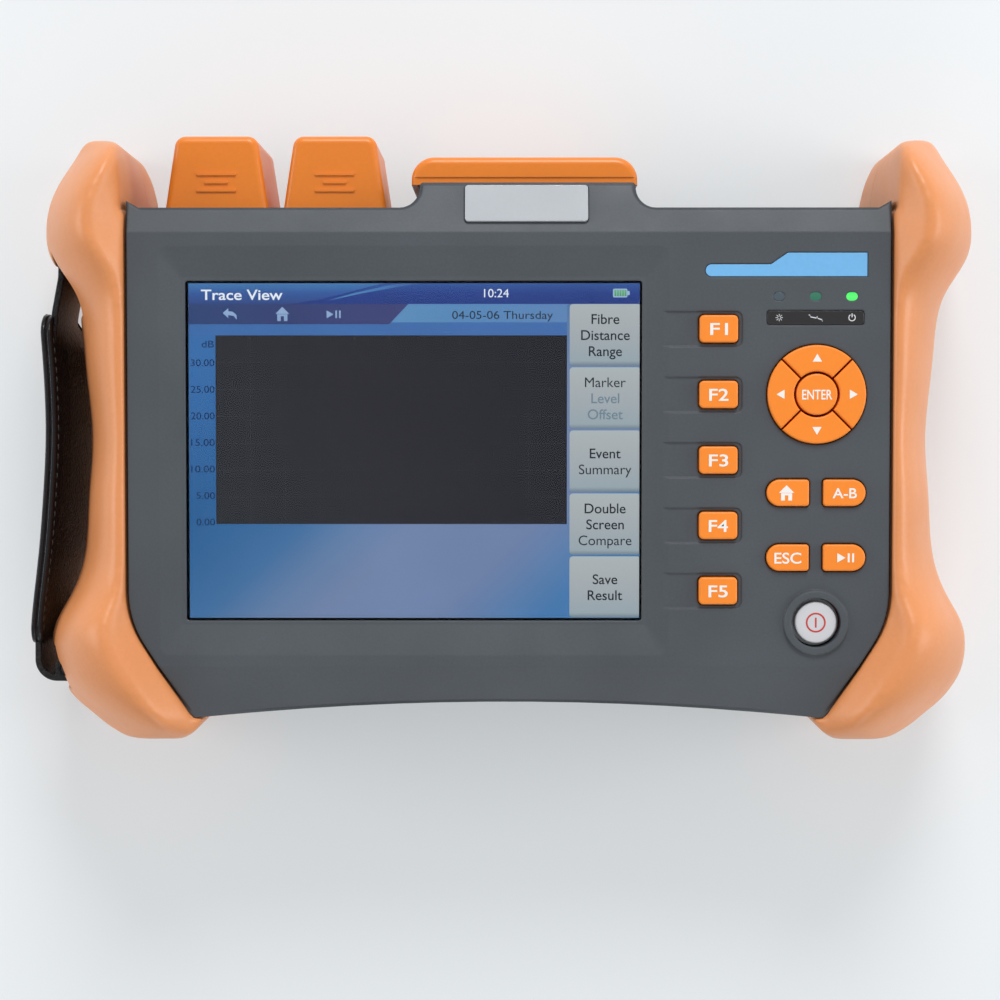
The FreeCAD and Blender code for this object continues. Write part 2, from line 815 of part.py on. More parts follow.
def rear_housing():
    body = new_body("rear_housing")
    skirt = new_sketch(body, "rear_skirt", lift="back_z")
    draw(skirt, outline())
    pad(body, skirt, "split_z - back_z")
    hollow = new_sketch(body, "rear_hollow", lift="split_z")
    draw(hollow, outline(-val("wall"), horns=False))
    pocket(body, hollow, "split_z - back_z - back_wall")

    groove = new_sketch(body, "gasket_groove", lift="split_z")
    draw(groove, outline(-val("gasket_in"), horns=False))
    draw(groove, outline(-val("gasket_in + gasket_wide"), horns=False))
    pocket(body, groove, "gasket_thick")
    ribs = new_sketch(body, "stand_ribs", lift="back_z + back_wall - root")
    draw(ribs, turned(stand_corners(val("wall"))))
    pad(body, ribs, "stand_thick + stand_play + root")
    heads = new_sketch(body, "stand_heads", lift="back_z + back_wall - root")
    head = val("knuckle_radius + wall + over")
    for side in (1, -1):
        x = side * val("stand_x")
        w = val("stand_wide") / 2 + val("wall")
        y = val("stand_hinge_y")
        start = val("stand_hinge_y - over")
        draw(heads, turned([(x + w, start, 0.0), (x + w, y + head, 0.0), (x - w, y + head, 0.0),
                            (x - w, start, 0.0)]))
    pad(body, heads, "stand_thick + stand_play + root")
    channel = new_sketch(body, "stand_channel", lift="back_z")
    draw(channel, turned(stand_corners(val("stand_play"))))
    pocket(body, channel, "stand_thick + 2 * stand_play", reverse=True)
    ends = new_sketch(body, "stand_ends", lift="back_z")
    for side in (1, -1):
        x = side * val("stand_x")
        w = val("stand_wide") / 2 + val("stand_play")
        y = val("stand_hinge_y")
        h = val("stand_thick") / 2 + val("stand_play")
        start = val("stand_hinge_y - over")
        draw(ends, turned([(x + w, start, 0.0), (x + w, y + h, 0.0), (x - w, y + h, 0.0),
                           (x - w, start, 0.0)]))
    pocket(body, ends, "stand_thick + 2 * stand_play", reverse=True)
    for side in (1, -1):
        pins = new_sketch(body, "stand_pin_hole%d" % side, "stand_hinge_y", STAND_PIN_Z,
                          "%d * stand_x" % side, role="YZ_Plane")
        circle(pins, "stand_pin")
        pocket(body, pins, STAND_PIN_LONG, both=True)
    finger = new_sketch(body, "finger_notch", "0", "-stand_low + stand_bar + notch_high / 4",
                        "back_z")
    rectangle(finger, "notch_wide", "notch_high", "notch_corner")
    pocket(body, finger, "notch_deep", reverse=True)

    bosses = new_sketch(body, "rear_bosses", lift="back_z + back_wall - root")
    circles(bosses, "rear_boss_radius", boss_places())
    pad(body, bosses, "split_z - back_z - back_wall + root")
    bores = new_sketch(body, "screw_bores", lift="back_z")
    circles(bores, "screw_radius + screw_play", boss_places())
    pocket(body, bores, "split_z - back_z", reverse=True)
    sinks = new_sketch(body, "screw_sinks", lift="back_z")
    circles(sinks, "head_radius + screw_play", boss_places())
    pocket(body, sinks, "head_high + head_room", reverse=True)

    post_foot = "back_z + stand_thick + 2 * stand_play + over"
    posts = new_sketch(body, "board_posts", lift=post_foot)
    circles(posts, "post_radius", post_places())
    pad(body, posts, "board_z - (%s)" % post_foot)
    door_bosses = new_sketch(body, "door_bosses", lift="back_z + back_wall - root")
    circles(door_bosses, "boss_radius", door_screws())
    pad(body, door_bosses, "door_boss_high")
    rebate = new_sketch(body, "door_rebate", "0", "battery_y", "back_z")
    rectangle(rebate, "door_wide", "door_high", "door_corner")
    pocket(body, rebate, "door_gap + door_thick", reverse=True)
    bay = new_sketch(body, "battery_bay", "0", "battery_y", "back_z")
    rectangle(bay, "battery_wide + 2 * battery_play", "battery_high + 2 * battery_play")
    pocket(body, bay, "back_wall + over", reverse=True)
    door_pilots = new_sketch(body, "door_pilots", lift="back_z")
    circles(door_pilots, "screw_radius + thread_fit", door_screws())
    pocket(body, door_pilots, "door_gap + door_head_high + door_screw_long + root", reverse=True)

    for name, x, half, wall_y in HINGES:
        for side in (-1, 1):
            middle = "%s + %d * (%s + lug_gap + lug_wide / 2)" % (x, side, half)
            lug = new_sketch(body, "%s_lug%d" % (name, side), wall_y, hinge_z(name),
                             middle, role="YZ_Plane")
            out = val("hinge_out")
            r = val("knuckle_radius")
            draw(lug, lug_outline(out, r))
            pad(body, lug, "lug_wide", both=True)
        hole = new_sketch(body, name + "_pin_hole", wall_y + " + hinge_out", hinge_z(name), x,
                          role="YZ_Plane")
        circle(hole, "hinge_pin")
        pocket(body, hole, "2 * (%s + lug_gap + lug_wide + over)" % half, both=True)
    return body


def lug_outline(out, radius):
    """A round-ended ear standing out from a wall at y = 0."""
    root = -val("root")
    return [
        Part.LineSegment(Vector(root, -radius, 0), Vector(out, -radius, 0)),
        Part.Arc(Vector(out, -radius, 0), Vector(out + radius, 0, 0), Vector(out, radius, 0)),
        Part.LineSegment(Vector(out, radius, 0), Vector(root, radius, 0)),
        Part.LineSegment(Vector(root, radius, 0), Vector(root, -radius, 0)),
    ]


def post_places():
    x = val("post_x")
    return [(x, val("post_top_y")), (-x, val("post_top_y")),
            (x, -val("post_low_y")), (-x, -val("post_low_y"))]


def door_screws():
    x = val("door_screw_x")
    y = val("battery_y")
    return [(x, y), (-x, y)]


def hinge_z(name):
    return ("flap_low_z" if name == "flap" else "cover_low_z") + " - hinge_drop"


STAND_PIN_Z = "back_z + stand_play + stand_thick / 2"
STAND_PIN_LONG = "stand_wide + 2 * stand_play + 4"
HINGES = [
    ("left", "port_left_x", "barrel_half", "top_y"),
    ("right", "port_right_x", "barrel_half", "top_y"),
    ("flap", "(flap_right - flap_left) / 2", "flap_hinge_half", "top_y + bump_rise"),
]


def housing_gasket():
    """A flat seal in the joint, inside the screw bosses' line."""
    outer = face_of(outline(-val("gasket_in"), horns=False))
    inner = face_of(outline(-val("gasket_in + gasket_wide"), horns=False))
    ring = outer.cut(inner).extrude(Vector(0, 0, val("gasket_thick")))
    return solid_feature("housing_gasket", ring, val("split_z - gasket_thick"))


def face_of(pieces):
    edges = Part.__sortEdges__([piece.toShape() for piece in pieces])
    return Part.Face(Part.Wire(edges))


# ---------------------------------------------------------------- display

def display():
    glass_z = "panel_z - front_wall - seal_thick"
    wide = "screen_wide + 2 * window_margin"
    high = "screen_high + 2 * window_margin"
    window = new_body("screen_window", "screen_x", "screen_y", glass_z + " - window_thick")
    plate = new_sketch(window, "window_edge")
    rectangle(plate, wide, high, "screen_corner + window_margin")
    pad(window, plate, "window_thick")
    seal = new_body("screen_seal", "screen_x", "screen_y", glass_z)
    ring = new_sketch(seal, "seal_edge")
    rectangle(ring, wide, high, "screen_corner + window_margin")
    pad(seal, ring, "seal_thick")
    hole = new_sketch(seal, "seal_opening", lift="seal_thick")
    rectangle(hole, wide + " - 2 * seal_wide", high + " - 2 * seal_wide", "screen_corner")
    pocket(seal, hole, "seal_thick")
    module = new_body("lcd_module", "screen_x", "screen_y",
                      glass_z + " - window_thick - module_thick")
    case = new_sketch(module, "module_edge")
    rectangle(case, "screen_wide + 2 * module_margin", "screen_high + 2 * module_margin")
    pad(module, case, "module_thick")
    bezel = new_sketch(module, "module_bezel", lift="module_thick")
    rectangle(bezel, "screen_wide - 1", "screen_high - 1")
    pocket(module, bezel, "0.3")


# ---------------------------------------------------------------- keys

UNDERSIDE = "panel_z - front_wall"
LIP_Z = UNDERSIDE + " - lip_play - lip_thick"
CAP_HIGH = "panel_z + key_rise - (" + LIP_Z + ")"
MAT_Z = LIP_Z + " - key_travel - mat_gap"


def rectangular_key(label, x, y):
    body = new_body(label, x, y, LIP_Z)
    lip = new_sketch(body, label + "_lip")
    rectangle(lip, "fkey_wide + 2 * lip_reach", "fkey_high + 2 * lip_reach", "fkey_corner")
    pad(body, lip, "lip_thick")
    cap = new_sketch(body, label + "_cap")
    rectangle(cap, "fkey_wide", "fkey_high", "fkey_corner")
    top = pad(body, cap, CAP_HIGH)
    fillet(body, top, "key_edge", at_height(val(CAP_HIGH)), label + "_edge")


def drawn_key(label, x, y, cap_pieces, lip_pieces, edge="key_edge"):
    body = new_body(label, x, y, LIP_Z)
    lip = new_sketch(body, label + "_lip")
    draw(lip, lip_pieces)
    pad(body, lip, "lip_thick")
    cap = new_sketch(body, label + "_cap")
    draw(cap, cap_pieces)
    top = pad(body, cap, CAP_HIGH)
    fillet(body, top, edge, at_height(val(CAP_HIGH)), label + "_edge")


def round_key(label, x, y, radius, lip_radius, high):
    body = new_body(label, x, y, LIP_Z)
    lip = new_sketch(body, label + "_lip")
    circle(lip, lip_radius)
    pad(body, lip, "lip_thick")
    cap = new_sketch(body, label + "_cap")
    circle(cap, radius)
    top = pad(body, cap, high)
    fillet(body, top, "key_edge", at_height(val(high)), label + "_edge")


def keys():
    for k, label in enumerate(FKEYS):
        rectangular_key(label, "fkey_x", "fkey_y - %d * fkey_pitch" % k)
    reach = val("lip_reach")
    for label, x, y, right in SIDE_KEYS:
        corners = side_key(right)
        drawn_key(label, x, y, turned(corners), turned(grown(corners, reach)))
    inner = val("pad_inner")
    outer = val("pad_radius")
    gap = val("sector_gap")
    for label, quarter in ARROWS:
        turn = quarter * math.pi / 2
        drawn_key(label, "pad_x", "pad_y", sector(turn, inner, outer, gap),
                  sector(turn, inner, outer + reach, gap))
    round_key("enter_key", "pad_x", "pad_y", "enter_radius", "enter_radius", CAP_HIGH)
    round_key("power_button", "power_x", "power_y", "power_radius", "power_lip",
              "panel_z + ring_rise - power_below - (" + LIP_Z + ")")


def key_circuit():
    """The contact mat below the keys, and the board that it lies on."""
    wide = "mat_right - mat_left"
    high = "mat_top - mat_low"
    mid_x = "(mat_right + mat_left) / 2"
    mid_y = "(mat_top + mat_low) / 2"
    mat = new_body("keypad_mat", mid_x, mid_y, MAT_Z + " - mat_thick")
    sheet = new_sketch(mat, "mat_edge")
    rectangle(sheet, wide, high, "mat_corner")
    pad(mat, sheet, "mat_thick")
    board = new_body("key_board", mid_x, mid_y, MAT_Z + " - mat_thick - key_board_thick")
    card = new_sketch(board, "key_board_edge")
    rectangle(card, wide, high, "mat_corner")
    pad(board, card, "key_board_thick")


def lamps_and_plates():
    for label, place in LAMPS:
        body = new_body(label, place, "lamp_y", "panel_z - lamp_long")
        pipe = new_sketch(body, label + "_pipe")
        rectangle(pipe, "lamp_wide - 2 * lamp_fit", "lamp_high - 2 * lamp_fit",
                  "(lamp_high - 2 * lamp_fit) * 0.499")
        pad(body, pipe, "lamp_long")
    legend = new_body("legend_plate", "legend_x", "legend_y", "panel_z - plate_deep")
    strip = new_sketch(legend, "legend_edge")
    rectangle(strip, "legend_wide", "legend_high", "legend_corner")
    pad(legend, strip, "plate_thick")
    model = new_body("model_plate", z="panel_z - plate_deep")
    plate = new_sketch(model, "model_edge")
    draw(plate, turned(model_plate_corners()))
    pad(model, plate, "plate_thick")
    badge = new_body("badge_plate", "badge_x", "badge_y", band_z("badge_y"))
    label = new_sketch(badge, "badge_edge", y="-badge_deep * sin(top_band_tilt)",
                       lift="-badge_deep * cos(top_band_tilt)", tilt="-top_band_tilt")
    rectangle(label, "badge_wide", "badge_high", "badge_corner")
    pad(badge, label, "badge_thick")


# ---------------------------------------------------------------- port end

def adapter(label, x):
    """A threaded single-fibre adapter: flange, barrel and bore, turned about Y."""
    body = new_body(label, x, "top_y", "port_z")
    half = new_sketch(body, label + "_half")
    bore = val("ferrule_bore")
    ring = val("flange_radius")
    thread = val("barrel_radius")
    neck = val("port_hole") - val("port_fit")
    thick = val("flange_thick")
    out = thick + val("barrel_long")
    deep = -val("adapter_deep")
    draw(half, turned([(bore, deep, 0.0), (neck, deep, 0.0), (neck, 0.0, 0.0), (ring, 0.0, 0.0),
                       (ring, thick, 0.4), (thread, thick, 0.0), (thread, out, 0.5),
                       (bore, out, 0.0)]))
    turn = body.newObject("PartDesign::Revolution", label + "_turn")
    turn.Profile = half
    turn.ReferenceAxis = (origin_plane(body, "Y_Axis"), [""])
    turn.Angle = 360.0


def port_cover(label, x, name):
    """A hollow cap, open towards the housing, hinged along its rear edge."""
    body = new_body(label, x, "top_y + cover_gap")
    cap = new_sketch(body, label + "_cap", lift="cover_low_z")
    draw(cap, turned(cover_corners()))
    cap_pad = pad(body, cap, "cover_high_z - cover_low_z")
    fillet(body, cap_pad, "cover_edge",
           lambda edge, middle: abs(middle.z - val("cover_high_z")) < 1e-4 and middle.y > 0.01,
           label + "_edge")
    room = new_sketch(body, label + "_room", lift="cover_low_z + cover_wall")
    draw(room, turned(cover_corners(val("cover_wall"))))
    pocket(body, room, "cover_high_z - cover_low_z - 2 * cover_wall", reverse=True)
    for k, wide in enumerate(("rib_wide", "rib_short", "rib_wide")):
        rib = new_sketch(body, "%s_rib%d" % (label, k), "0", "rib_y + %d * rib_pitch" % k,
                         "cover_high_z")
        rectangle(rib, wide, "rib_thick", "rib_thick * 0.49")
        pad(body, rib, "rib_rise")
    barrel(body, label, "0", "barrel_half", "hinge_out - cover_gap", hinge_z(name),
           "cover_low_z")
    return body


def barrel(body, label, x, half, y, z, floor):
    """A hinge knuckle below a cover, with its web and pin hole."""
    knuckle = new_sketch(body, label + "_knuckle", y, z, x, role="YZ_Plane")
    r = val("knuckle_radius")
    up = val(floor) - val(z) + val("seam")
    draw(knuckle, [
        Part.Arc(Vector(-r, 0, 0), Vector(0, -r, 0), Vector(r, 0, 0)),
        Part.LineSegment(Vector(r, 0, 0), Vector(r, up, 0)),
        Part.LineSegment(Vector(r, up, 0), Vector(-r, up, 0)),
        Part.LineSegment(Vector(-r, up, 0), Vector(-r, 0, 0)),
    ])
    pad(body, knuckle, "2 * " + half, both=True)
    hole = new_sketch(body, label + "_eye", y, z, x, role="YZ_Plane")
    circle(hole, "hinge_pin + hinge_fit")
    pocket(body, hole, "2 * %s + 1" % half, both=True)


def interface_flap():
    mid = "(flap_right - flap_left) / 2"
    body = new_body("interface_flap", mid, "top_y + bump_rise + cover_gap")
    half = (val("flap_left") + val("flap_right")) / 2
    reach = val("flap_reach")
    corner = val("flap_corner")
    wall = val("flap_wall")
    tray = new_sketch(body, "flap_tray", lift="flap_low_z")
    draw(tray, turned([(half, 0.0, 0.0), (half, reach, corner), (-half, reach, corner),
                       (-half, 0.0, 0.0)]))
    tray_pad = pad(body, tray, "flap_high_z - flap_low_z")
    fillet(body, tray_pad, "cover_edge",
           lambda edge, middle: abs(middle.z - val("flap_high_z")) < 1e-4 and middle.y > 0.01,
           "flap_edge")
    room = new_sketch(body, "flap_room", lift="flap_low_z + flap_wall")
    w = half - wall
    draw(room, turned([(w, -1.0, 0.0), (w, reach - wall, corner - wall),
                       (-w, reach - wall, corner - wall), (-w, -1.0, 0.0)]))
    pocket(body, room, "flap_high_z - flap_low_z - 2 * flap_wall", reverse=True)
    lip = new_sketch(body, "flap_lip", "0", "lip_wide / 2 - over", "flap_high_z")
    rectangle(lip, "flap_left + flap_right + 2 * over", "lip_wide + 2 * over")
    pocket(body, lip, "lip_drop")
    gap = new_sketch(body, "flap_gap", lift="flap_high_z")
    tab = val("tab_wide") / 2
    slit = val("flap_slit")
    for side in (1, -1):
        far = side * val("flap_half_bump")
        draw(gap, turned([(side * tab, -slit, 0.0), (far, -slit, 0.0), (far, slit, 0.0),
                          (side * tab, slit, 0.0)]))
    pocket(body, gap, "slit_deep")
    barrel(body, "flap", "0", "flap_hinge_half", "hinge_out - cover_gap", hinge_z("flap"),
           "flap_low_z")


def rod(name, x, y, z, length, radius, along=Vector(1, 0, 0)):
    """A plain pin centred on a place."""
    pin = doc.addObject("Part::Cylinder", name)
    pin.setExpression("Radius", cells(radius))
    pin.setExpression("Height", cells(length))
    turn = Rotation(Vector(0, 0, 1), along)
    pin.Placement = Placement(Vector(), turn)
    for axis, formula, part in zip("xyz", (x, y, z), (along.x, along.y, along.z)):
        pin.setExpression("Placement.Base." + axis,
                          cells("(%s) - %d * (%s) / 2" % (formula, round(part), length)))
    return pin


def compound(label, objects):
    group = doc.addObject("Part::Compound", label)
    group.Label = label
    group.Links = objects
    return group


def hinge_pins():
    cover_pins = []
    for name, x, half, wall_y in HINGES:
        pin = rod(name + "_pin", x, wall_y + " + hinge_out", hinge_z(name),
                  "2 * (%s + lug_gap + lug_wide)" % half, "hinge_pin")
        if name == "flap":
            pin.Label = "flap_pin"
        else:
            cover_pins.append(pin)
    compound("port_cover_pins", cover_pins)


# ---------------------------------------------------------------- boards and sockets

def main_board():
    body = new_body("main_board", z="board_z")
    edge = new_sketch(body, "board_edge")
    half = val("board_half")
    low = -val("board_low")
    top = val("board_top")
    left = -val("board_tab_left")
    right = val("board_tab_right")
    tab = val("board_tab_y")
    corner = val("board_corner")
    draw(edge, turned([
        (half, low, corner), (half, top, corner), (right, top, 0.0), (right, tab, corner / 2),
        (left, tab, corner / 2), (left, top, 0.0), (-half, top, corner), (-half, low, corner),
    ]))
    pad(body, edge, "board_thick")


def sockets():
    for name, x, wide, high, z in SOCKETS[:2]:
        long = name + "_long"
        body = new_body(name + "_socket", x, "top_y + bump_rise", z)
        shell = new_sketch(body, name + "_shell", "0", high + " / 2", role="XZ_Plane")
        rectangle(shell, wide, high, "socket_corner")
        pad(body, shell, long)
        mouth = new_sketch(body, name + "_mouth", "0", high + " / 2", role="XZ_Plane")
        rectangle(mouth, wide + " - 2 * socket_wall", high + " - 2 * socket_wall")
        pocket(body, mouth, long + " - socket_back", reverse=True)
        tongue = new_sketch(body, name + "_tongue", "0", high + " * tongue_rise", role="XZ_Plane",
                            lift="socket_back / 2")
        rectangle(tongue, wide + " * tongue_share", "tongue_thick")
        pad(body, tongue, long + " - socket_back")
    name, x, wide, high, z = SOCKETS[2]
    body = new_body("jack_socket", x, "top_y + bump_rise", z)
    shell = new_sketch(body, "jack_shell", "0", "jack_high / 2", role="XZ_Plane")
    rectangle(shell, wide, high, "socket_corner")
    pad(body, shell, "jack_long")
    mouth = new_sketch(body, "jack_mouth_edge", "0", "jack_high / 2", role="XZ_Plane")
    circle(mouth, "jack_mouth")
    pocket(body, mouth, "jack_long - socket_back", reverse=True)
    contact = new_sketch(body, "jack_contact", "0", "jack_high / 2", "over", role="XZ_Plane")
    circle(contact, "jack_pin")
    pad(body, contact, "jack_long - 2 * over")


def optical_module():
    top = "(top_y - adapter_deep - port_fit)"
    block("optical_module", "(module_left + module_right) / 2", "(module_low + %s) / 2" % top,
          SOCKET_Z, "module_right - module_left", top + " - module_low", "module_high")


# ---------------------------------------------------------------- battery and stand

def battery():
    block("battery_pack", "0", "battery_y", "back_z + door_gap + door_thick", "battery_wide",
          "battery_high", "battery_thick")
    door = new_body("battery_door", "0", "battery_y", "back_z + door_gap")
    plate = new_sketch(door, "door_edge")
    rectangle(plate, "door_wide - 2 * door_play", "door_high - 2 * door_play",
              "door_corner - door_play")
    pad(door, plate, "door_thick")
    x = val("door_screw_x")
    holes = new_sketch(door, "door_holes")
    circles(holes, "screw_radius + screw_play", [(x, 0), (-x, 0)])
    pocket(door, holes, "door_thick", reverse=True)
    sinks = new_sketch(door, "door_sinks")
    circles(sinks, "head_radius + screw_play", [(x, 0), (-x, 0)])
    pocket(door, sinks, "door_head_high", reverse=True)


def pan_screw(name, x, y, z, length, head):
    """A screw with its head below z and its shank rising into the housing."""
    shank = rod(name + "_shank", "0", "0", "0", length, "screw_radius", Vector(0, 0, 1))
    top = rod(name + "_head", "0", "0", "0", head, "head_radius", Vector(0, 0, 1))
    for part, foot_z in ((shank, z), (top, "%s - (%s)" % (z, head))):
        for axis, formula in zip("xyz", (str(x), str(y), foot_z)):
            part.setExpression("Placement.Base." + axis, cells(formula))
    return [shank, top]


def screws(label, places, z, length, head):
    parts = []
    for k, (x, y) in enumerate(places):
        pieces = pan_screw("%s%d" % (label, k), x, y, z, length, head)
        fuse = doc.addObject("Part::MultiFuse", "%s_screw%d" % (label, k))
        fuse.Shapes = pieces
        parts.append(fuse)
    compound(label, parts)


def kickstand():
    body = new_body("kickstand", z="back_z + stand_play")
    frame = new_sketch(body, "stand_frame")
    draw(frame, turned(stand_corners()))
    pad(body, frame, "stand_thick")
    pins = []
    for side in (1, -1):
        x = "%d * stand_x" % side
        knuckle = new_sketch(body, "stand_knuckle%d" % side, "stand_hinge_y", "stand_thick / 2", x,
                             role="YZ_Plane")
        circle(knuckle, "stand_thick / 2")
        pad(body, knuckle, "stand_wide", both=True)
    for side in (1, -1):
        x = "%d * stand_x" % side
        eye = new_sketch(body, "stand_eye%d" % side, "stand_hinge_y", "stand_thick / 2", x,
                         role="YZ_Plane")
        circle(eye, "stand_pin + hinge_fit")
        pocket(body, eye, "stand_wide + 2 * over", both=True)
        pins.append(rod("stand_pin_%d" % side, x, "stand_hinge_y", STAND_PIN_Z,
                        STAND_PIN_LONG, "stand_pin"))
    compound("kickstand_pins", pins)


# ---------------------------------------------------------------- bumpers

BUMPER_TURNS = [
    # out from the housing's side, distance up the front, corner radius
    (26.5, 63.2, 24.0),
    (26.5, 50.1, 13.0),
    (17.9, 37.0, 18.0),
    (13.2, -3.6, 190.0),
    (17.3, -37.5, 14.0),
    (25.7, -52.9, 12.0),
    (25.7, -65.7, 19.0),
    (7.8, -83.0, 29.0),
    (-11.0, -83.0, 5.0),
    (-19.0, -76.0, 0.0),
]
EAR_PEAK = (13.1, 84.4, 7.0)

CROWN = [
    # distance up the front, lip height, crease out from the housing's side and its height
    (85.0, 44.0, 0.6, 49.0),
    (79.5, 54.0, 0.9, 59.4),
    (75.4, 60.0, 1.6, 65.8),
    (72.0, 63.0, 2.8, 69.4),
    (68.0, 64.6, 4.6, 71.6),
    (64.0, 65.3, 6.6, 72.7),
    (59.0, 66.0, 7.9, 73.3),
    (53.0, 66.6, 7.8, 73.3),
    (47.0, 66.9, 5.2, 71.8),
    (41.0, 67.0, 2.2, 69.0),
    (34.0, 67.0, 1.0, 67.6),
    (24.0, 67.0, 1.0, 67.4),
    (10.0, 67.0, 1.0, 67.3),
    (-8.0, 67.0, 1.0, 67.3),
    (-24.0, 67.0, 1.0, 67.4),
    (-34.0, 67.0, 1.0, 67.6),
    (-41.0, 67.0, 1.8, 69.0),
    (-46.0, 66.9, 3.4, 71.4),
    (-51.0, 66.8, 4.0, 73.0),
    (-56.0, 66.6, 2.4, 73.5),
    (-61.0, 66.4, -0.6, 73.6),
    (-66.0, 65.6, -3.6, 73.2),
    (-70.0, 64.6, -6.4, 72.2),
    (-74.0, 62.6, -9.6, 70.0),
    (-77.8, 59.6, -12.8, 66.0),
    (-81.6, 54.6, -16.0, 59.6),
    (-87.0, 44.0, -19.0, 48.0),
]
# share of a quarter round that a curve's handles take
QUARTER = 0.5523


def side_of_panel(out):
    return val("panel_half") + out


def bumper_plan():
    """The right bumper's plan outline; the housing is cut out of it afterwards."""
    ear = val("ear_inner")
    corners = [(ear, val("ear_inner_y"), 0.0), (side_of_panel(EAR_PEAK[0]), EAR_PEAK[1], EAR_PEAK[2])]
    corners += [(side_of_panel(out), y, r) for out, y, r in BUMPER_TURNS]
    inner = side_of_panel(-val("blank_depth"))
    top = val("top_y - 2 * over")
    corners += [(inner, -val("blank_low"), 0.0), (inner, top, 0.0), (ear, top, 0.0)]
    return turned(corners)


def plan_reach(plan, y, height):
    """How far out the bumper comes, which narrows above its widest height."""
    shrink = 1 - max(height - val("bumper_widest_z"), 0) * val("bumper_taper")
    low = val("reach_margin") - val("bumper_low")
    high = val("bumper_high") - 2 * val("reach_margin")
    near = min(max(y / shrink, low), high)
    line = Part.makeLine(Vector(0, near, 0), Vector(2 * val("panel_half"), near, 0))
    return shrink * max(vertex.X for vertex in plan.common(line).Vertexes)


def quarter_round(start, end, corner):
    """A quarter of an ellipse whose two ends' tangents meet in a corner."""
    curve = Part.BezierCurve()
    curve.setPoles([start, start + (corner - start) * QUARTER, end + (corner - end) * QUARTER, end])
    return curve.toShape()


def crown_section(plan, y, lip, crease_out, crease_z):
    """One cross-section of the bumper's top, closed well below it."""
    side = side_of_panel(0.0)
    edge = min(side, slant_x(-y, val("bumper_fit"))) if y < 0 else side
    widest = val("bumper_widest_z")
    far = plan_reach(plan, y, widest)
    crease = Vector(side_of_panel(crease_out), y, crease_z)
    end = Vector(far, y, widest)
    corner = Vector(plan_reach(plan, y, crease_z), y, crease_z)
    inner = side_of_panel(-val("blank_depth")) - val("section_spare")
    base = -val("section_spare")
    points = [Vector(far, y, base), Vector(inner, y, base), Vector(inner, y, lip),
              Vector(edge, y, lip), crease]
    edges = [Part.makeLine(a, b) for a, b in zip([end] + points, points)]
    edges.append(quarter_round(crease, end, corner))
    return Part.Wire(edges)


def end_roll():
    """What the bumper's two ends are rounded down to, seen from the side."""
    low_z = val("bumper_widest_z")
    top = val("bumper_top")
    reach = val("roll_reach")
    ends = []
    for y, way in ((-val("bumper_low"), 1), (val("bumper_high"), -1)):
        shoulder = Vector(0, y + way * reach, top)
        foot_ = Vector(0, y, low_z)
        ends.append((foot_, shoulder, Vector(0, y, top)))
    (foot_a, head_a, corner_a), (foot_b, head_b, corner_b) = ends
    base_a = Vector(0, foot_a.y, -val("section_spare"))
    base_b = Vector(0, foot_b.y, -val("section_spare"))
    edges = [
        Part.makeLine(base_a, foot_a), quarter_round(foot_a, head_a, corner_a),
        Part.makeLine(head_a, head_b), quarter_round(head_b, foot_b, corner_b),
        Part.makeLine(foot_b, base_b), Part.makeLine(base_b, base_a),
    ]
    return Part.Face(Part.Wire(edges)).extrude(Vector(2 * val("panel_half"), 0, 0))


def bumper_blank():
    plan = face_of(bumper_plan())
    outer = plan.copy()
    outer.scale(1 + val("plan_spill"))
    solid = outer.extrude(Vector(0, 0, val("bumper_top")))
    foot_edges = []
    for edge in solid.Edges:
        if all(abs(v.Z) < 1e-6 for v in edge.Vertexes):
            middle = edge.valueAt((edge.FirstParameter + edge.LastParameter) / 2)
            if middle.x > side_of_panel(0.5) or middle.y < 2 - val("bumper_low"):
                foot_edges.append(edge)
    solid = solid.makeFillet(val("bumper_back_round"), foot_edges)
    crown = Part.makeLoft([crown_section(plan, *row) for row in CROWN], True, False)
    return solid.common(crown).common(end_roll())


def prism(pieces, low, high):
    solid = face_of(pieces).extrude(Vector(0, 0, high - low))
    solid.translate(Vector(0, 0, low))
    return solid


def bumpers():
    """Front and rear moulded rubber halves, left and right, parted at the housing joint."""
    split = val("split_z")
    top = val("bumper_top")
    blank = bumper_blank()
    housing = prism(outline(val("bumper_fit")), -1.0, top)
    whole = blank.cut(housing)
    for label, low, high in (("rear", -1.0, split), ("front", split, top)):
        slab = Part.makeBox(400, 400, high - low, Vector(-200, -200, low))
        right = whole.common(slab)
        left = right.mirror(Vector(), Vector(1, 0, 0)).cut(strap_room())
        solid_feature("left_%s_bumper" % label, left)
        solid_feature("right_%s_bumper" % label, right)


# ---------------------------------------------------------------- hand strap

STRAP_ROUTE = [
    # out from the housing's side, distance up the front, bend radius
    (20.5, 48.5, 0.0),
    (20.6, 43.0, 10.0),
    (22.4, 33.5, 20.0),
    (23.4, 21.0, 40.0),
    (22.9, -2.0, 60.0),
    (24.9, -30.0, 60.0),
    (27.5, -52.0, 40.0),
    (27.6, -65.4, 5.0),
    (19.8, -65.4, 0.0),
]


def strap_ends():
    """The two bars' middles: the strap's mid-line runs round each."""
    reach = val("bar_radius") + val("bar_fit") + val("strap_thick") / 2
    first = STRAP_ROUTE[0]
    last = STRAP_ROUTE[-1]
    return [
        Vector(-side_of_panel(first[0]) + reach, first[1], 0),
        Vector(-side_of_panel(last[0]), last[1] + reach, 0),
    ]


